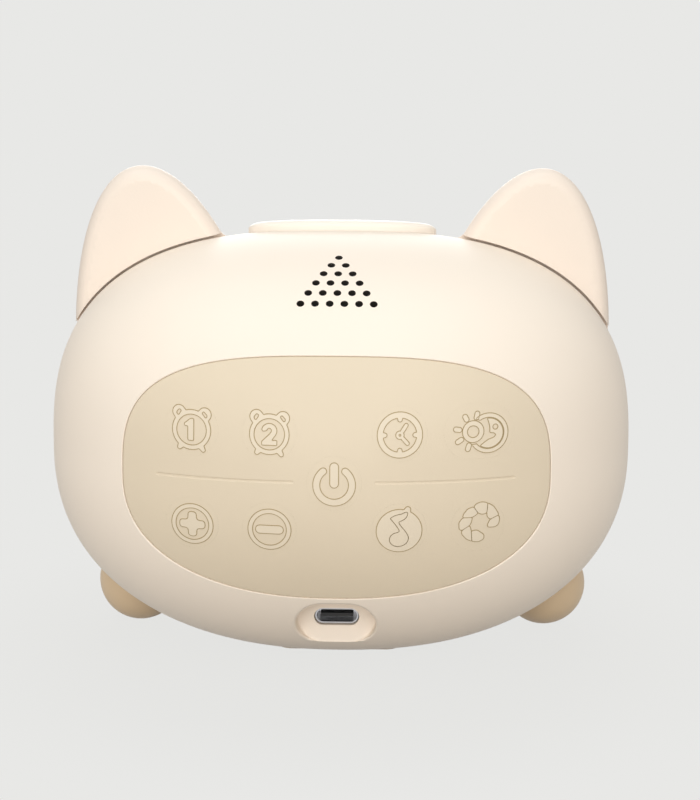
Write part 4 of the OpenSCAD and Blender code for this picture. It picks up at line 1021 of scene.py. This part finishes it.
# ----------------------------------------
# Snooze button. A long soft-edged cap in cream ABS let into the crown, pressed down against a
# push switch on its own small board.
button_cream = grained_plastic("button_cream", (0.91, 0.82, 0.715), 0.4, 0.25, 0.015)
button_proud, skirt_z, cap_thick = 2.3, 36.6, 2.4
edge_share, edge_drop = 0.14, 1.1
button_post_radius, post_low, post_high = 2.0, 36.95, 43.5
tab_y0, tab_y1, tab_z0, tab_z1, tab_middle_z = 3.7, 10.7, 36.61, 38.6, 37.6


def crown_z(x, y):
    """How high the front dome stands over a point, which the cap follows."""
    k = np.sqrt(1 - (np.maximum(0, y - front_y) / front_oval[5]) ** 2)
    half_w, high, fullness = front_oval[0], front_oval[1], front_oval[3]
    return high * np.maximum(0, k ** fullness - np.abs(x / half_w) ** fullness) ** (1 / fullness)


def cap_ring(scale, lift):
    ring = button_ring(scale, 0.0)
    ring[:, 2] = crown_z(ring[:, 0], ring[:, 1]) + lift
    return ring


cap_rings = [cap_ring(k, button_proud) for k in np.linspace(0.06, 1 - edge_share, 16)]
cap_rings += [cap_ring(1 - edge_share * (1 - math.sin(a)), button_proud - edge_drop * (1 - math.cos(a)))
              for a in np.radians([12, 24, 36, 48, 60, 70, 80, 90])]
cap_rings += [button_ring(1, skirt_z), button_ring(0.9, skirt_z), cap_ring(0.9, button_proud - 3),
              cap_ring(0.5, button_proud - cap_thick)]
roof = float(crown_z(0.0, button_y)) + button_proud
tabs = [straight_bar(square_ring(x0, x1, tab_z0, tab_z1), tab_y0, tab_y1, ((x0 + x1) / 2, tab_middle_z))
        for x0, x1 in ((18.9, 20.9), (-20.9, -18.9))]
button_post = round_bar((0, button_y, 0), (0, 0, 1), button_post_radius, post_low, post_high, 48)
button = make_piece("snooze_cap", loft(cap_rings, (0, button_y, roof), (0, button_y, roof - cap_thick)),
                    button_post, *tabs)
shade(button, 35)
dress(button, button_cream, ["top_button"], "snooze")
finish_nodes(top_board=green_board, snooze_switch=black_nylon)

# ----------------------------------------
# Screws. Zinc plated pan heads: four long ones hold the shells together from under the keypad,
# short ones hold the boards, and one through the front shell holds each foot.
finish_nodes(case_screws=plated_steel, key_board_screws=plated_steel, main_board_screws=plated_steel,
             light_board_screws=plated_steel, top_board_screws=plated_steel, foot_screws=plated_steel)

# ----------------------------------------
# Feet. Two turned balls in tan plastic, hollowed on top to sit against the front shell, flat
# underneath where they stand.
tan_plastic = grained_plastic("tan_plastic", (0.72, 0.55, 0.36), 0.45, 0.25, 0.03)
finish_nodes(foot_left=tan_plastic, foot_right=tan_plastic)

# ----------------------------------------
# Table and room. A plain pale table that runs to the end of the view, and an even pale room with
# three soft lamps: one behind the clock, one above it and one in front.
pale = (0.807, 0.807, 0.791, 1)
near_fade, far_fade = 0.045, 0.1
bpy.ops.mesh.primitive_plane_add(size=24, location=(0, 6, 0))
table = bpy.context.object
table.name = "table"
table_paint, nodes, links = new_material("pale_table")
surface = set_inputs(nodes["Principled BSDF"], Base_Color=(0.42, 0.4, 0.37, 1), Roughness=0.9)
# Seen by the eye and in gloss, the table is an even tone that takes a little shade by the clock.
flat = add_node(nodes, "Emission", Color=pale)
seen = add_node(nodes, "LightPath")
either = add_node(nodes, "Math")
either.operation = "MAXIMUM"
part = add_node(nodes, "Math")
part.operation = "MULTIPLY"
spot = add_node(nodes, "NewGeometry")
away = add_node(nodes, "VectorMath")
away.operation = "LENGTH"
fade = add_node(nodes, "MapRange", From_Min=near_fade, From_Max=far_fade, To_Min=0.94, To_Max=1.0)
fade.interpolation_type = "SMOOTHSTEP"
mix = add_node(nodes, "MixShader")
wire(links, (spot, "Position", away, 0), (away, "Value", fade, "Value"), (fade, "Result", part, 1),
     (seen, "Is Camera Ray", either, 0), (seen, "Is Glossy Ray", either, 1), (either, 0, part, 0),
     (part, 0, mix, "Fac"), (surface, 0, mix, 1), (flat, 0, mix, 2),
     (mix, 0, nodes["Material Output"], "Surface"))
table.data.materials.append(table_paint)

room = bpy.data.worlds.new("room")
bpy.context.scene.world = room
room.use_nodes = True
nodes, links = room.node_tree.nodes, room.node_tree.links
room_light = set_inputs(nodes["Background"], Color=(1.0, 0.985, 0.965, 1), Strength=0.6)
seen_room = add_node(nodes, "Background", Color=pale)
path = add_node(nodes, "LightPath")
blend = add_node(nodes, "MixShader")
wire(links, (path, "Is Camera Ray", blend, "Fac"), (room_light, 0, blend, 1), (seen_room, 0, blend, 2),
     (blend, 0, nodes["World Output"], "Surface"))


def soft_lamp(name, place, size, power, colour=(1, 1, 1), aim=(0, 0, 0.05)):
    data = bpy.data.lights.new(name, "AREA")
    data.shape, data.size, data.energy, data.color = "SQUARE", size, power, colour
    lamp = bpy.data.objects.new(name, data)
    lamp.location = place
    lamp.rotation_euler = (Vector(aim) - Vector(place)).to_track_quat("-Z", "Y").to_euler()
    bpy.context.collection.objects.link(lamp)


soft_lamp("key_lamp", (-0.03, -0.95, 0.34), 0.6, 5.05, (1, 0.985, 0.96))
soft_lamp("top_lamp", (-0.08, -0.22, 0.87), 0.7, 2.0, (0.8, 0.92, 1))
soft_lamp("front_lamp", (-0.1, 0.95, 0.42), 0.7, 4.0)

# ----------------------------------------
# Camera. A long lens a little above and behind the clock, square on to its keypad. The case's
# middle stands a little beside and below the middle of the frame.
frame_width, frame_height, lens_length = 700, 800, 2401.702
middle_across, middle_down = 340.597, 443.234
tilt, turn, roll = 0.2, -0.0257, -0.0047
distance = 527.529 * 0.97
off_x = (middle_across - frame_width / 2) / lens_length * distance
off_y = (frame_height / 2 - middle_down) / lens_length * distance
c, s, ce, se = math.cos(turn), math.sin(turn), math.cos(tilt), math.sin(tilt)
across = np.array([c, -s, 0.0])
rise = np.array([s * se, c * se, ce])
ahead = np.array([s * ce, c * ce, -se])
right = math.cos(roll) * across - math.sin(roll) * rise
up = math.sin(roll) * across + math.cos(roll) * rise
eye = (case_middle - off_x * right - off_y * up - distance * ahead) * mm
camera_data = bpy.data.cameras.new("camera")
camera_data.sensor_fit = "AUTO"
camera_data.sensor_width = 36
camera_data.lens = camera_data.sensor_width * lens_length / frame_height
camera_data.clip_start, camera_data.clip_end = 0.01, 50
camera = bpy.data.objects.new("camera", camera_data)
camera.matrix_world = Matrix([[right[i], up[i], -ahead[i], eye[i]] for i in range(3)] + [[0, 0, 0, 1]])
bpy.context.collection.objects.link(camera)
bpy.context.scene.camera = camera
bpy.context.scene.view_settings.view_transform = "Standard"
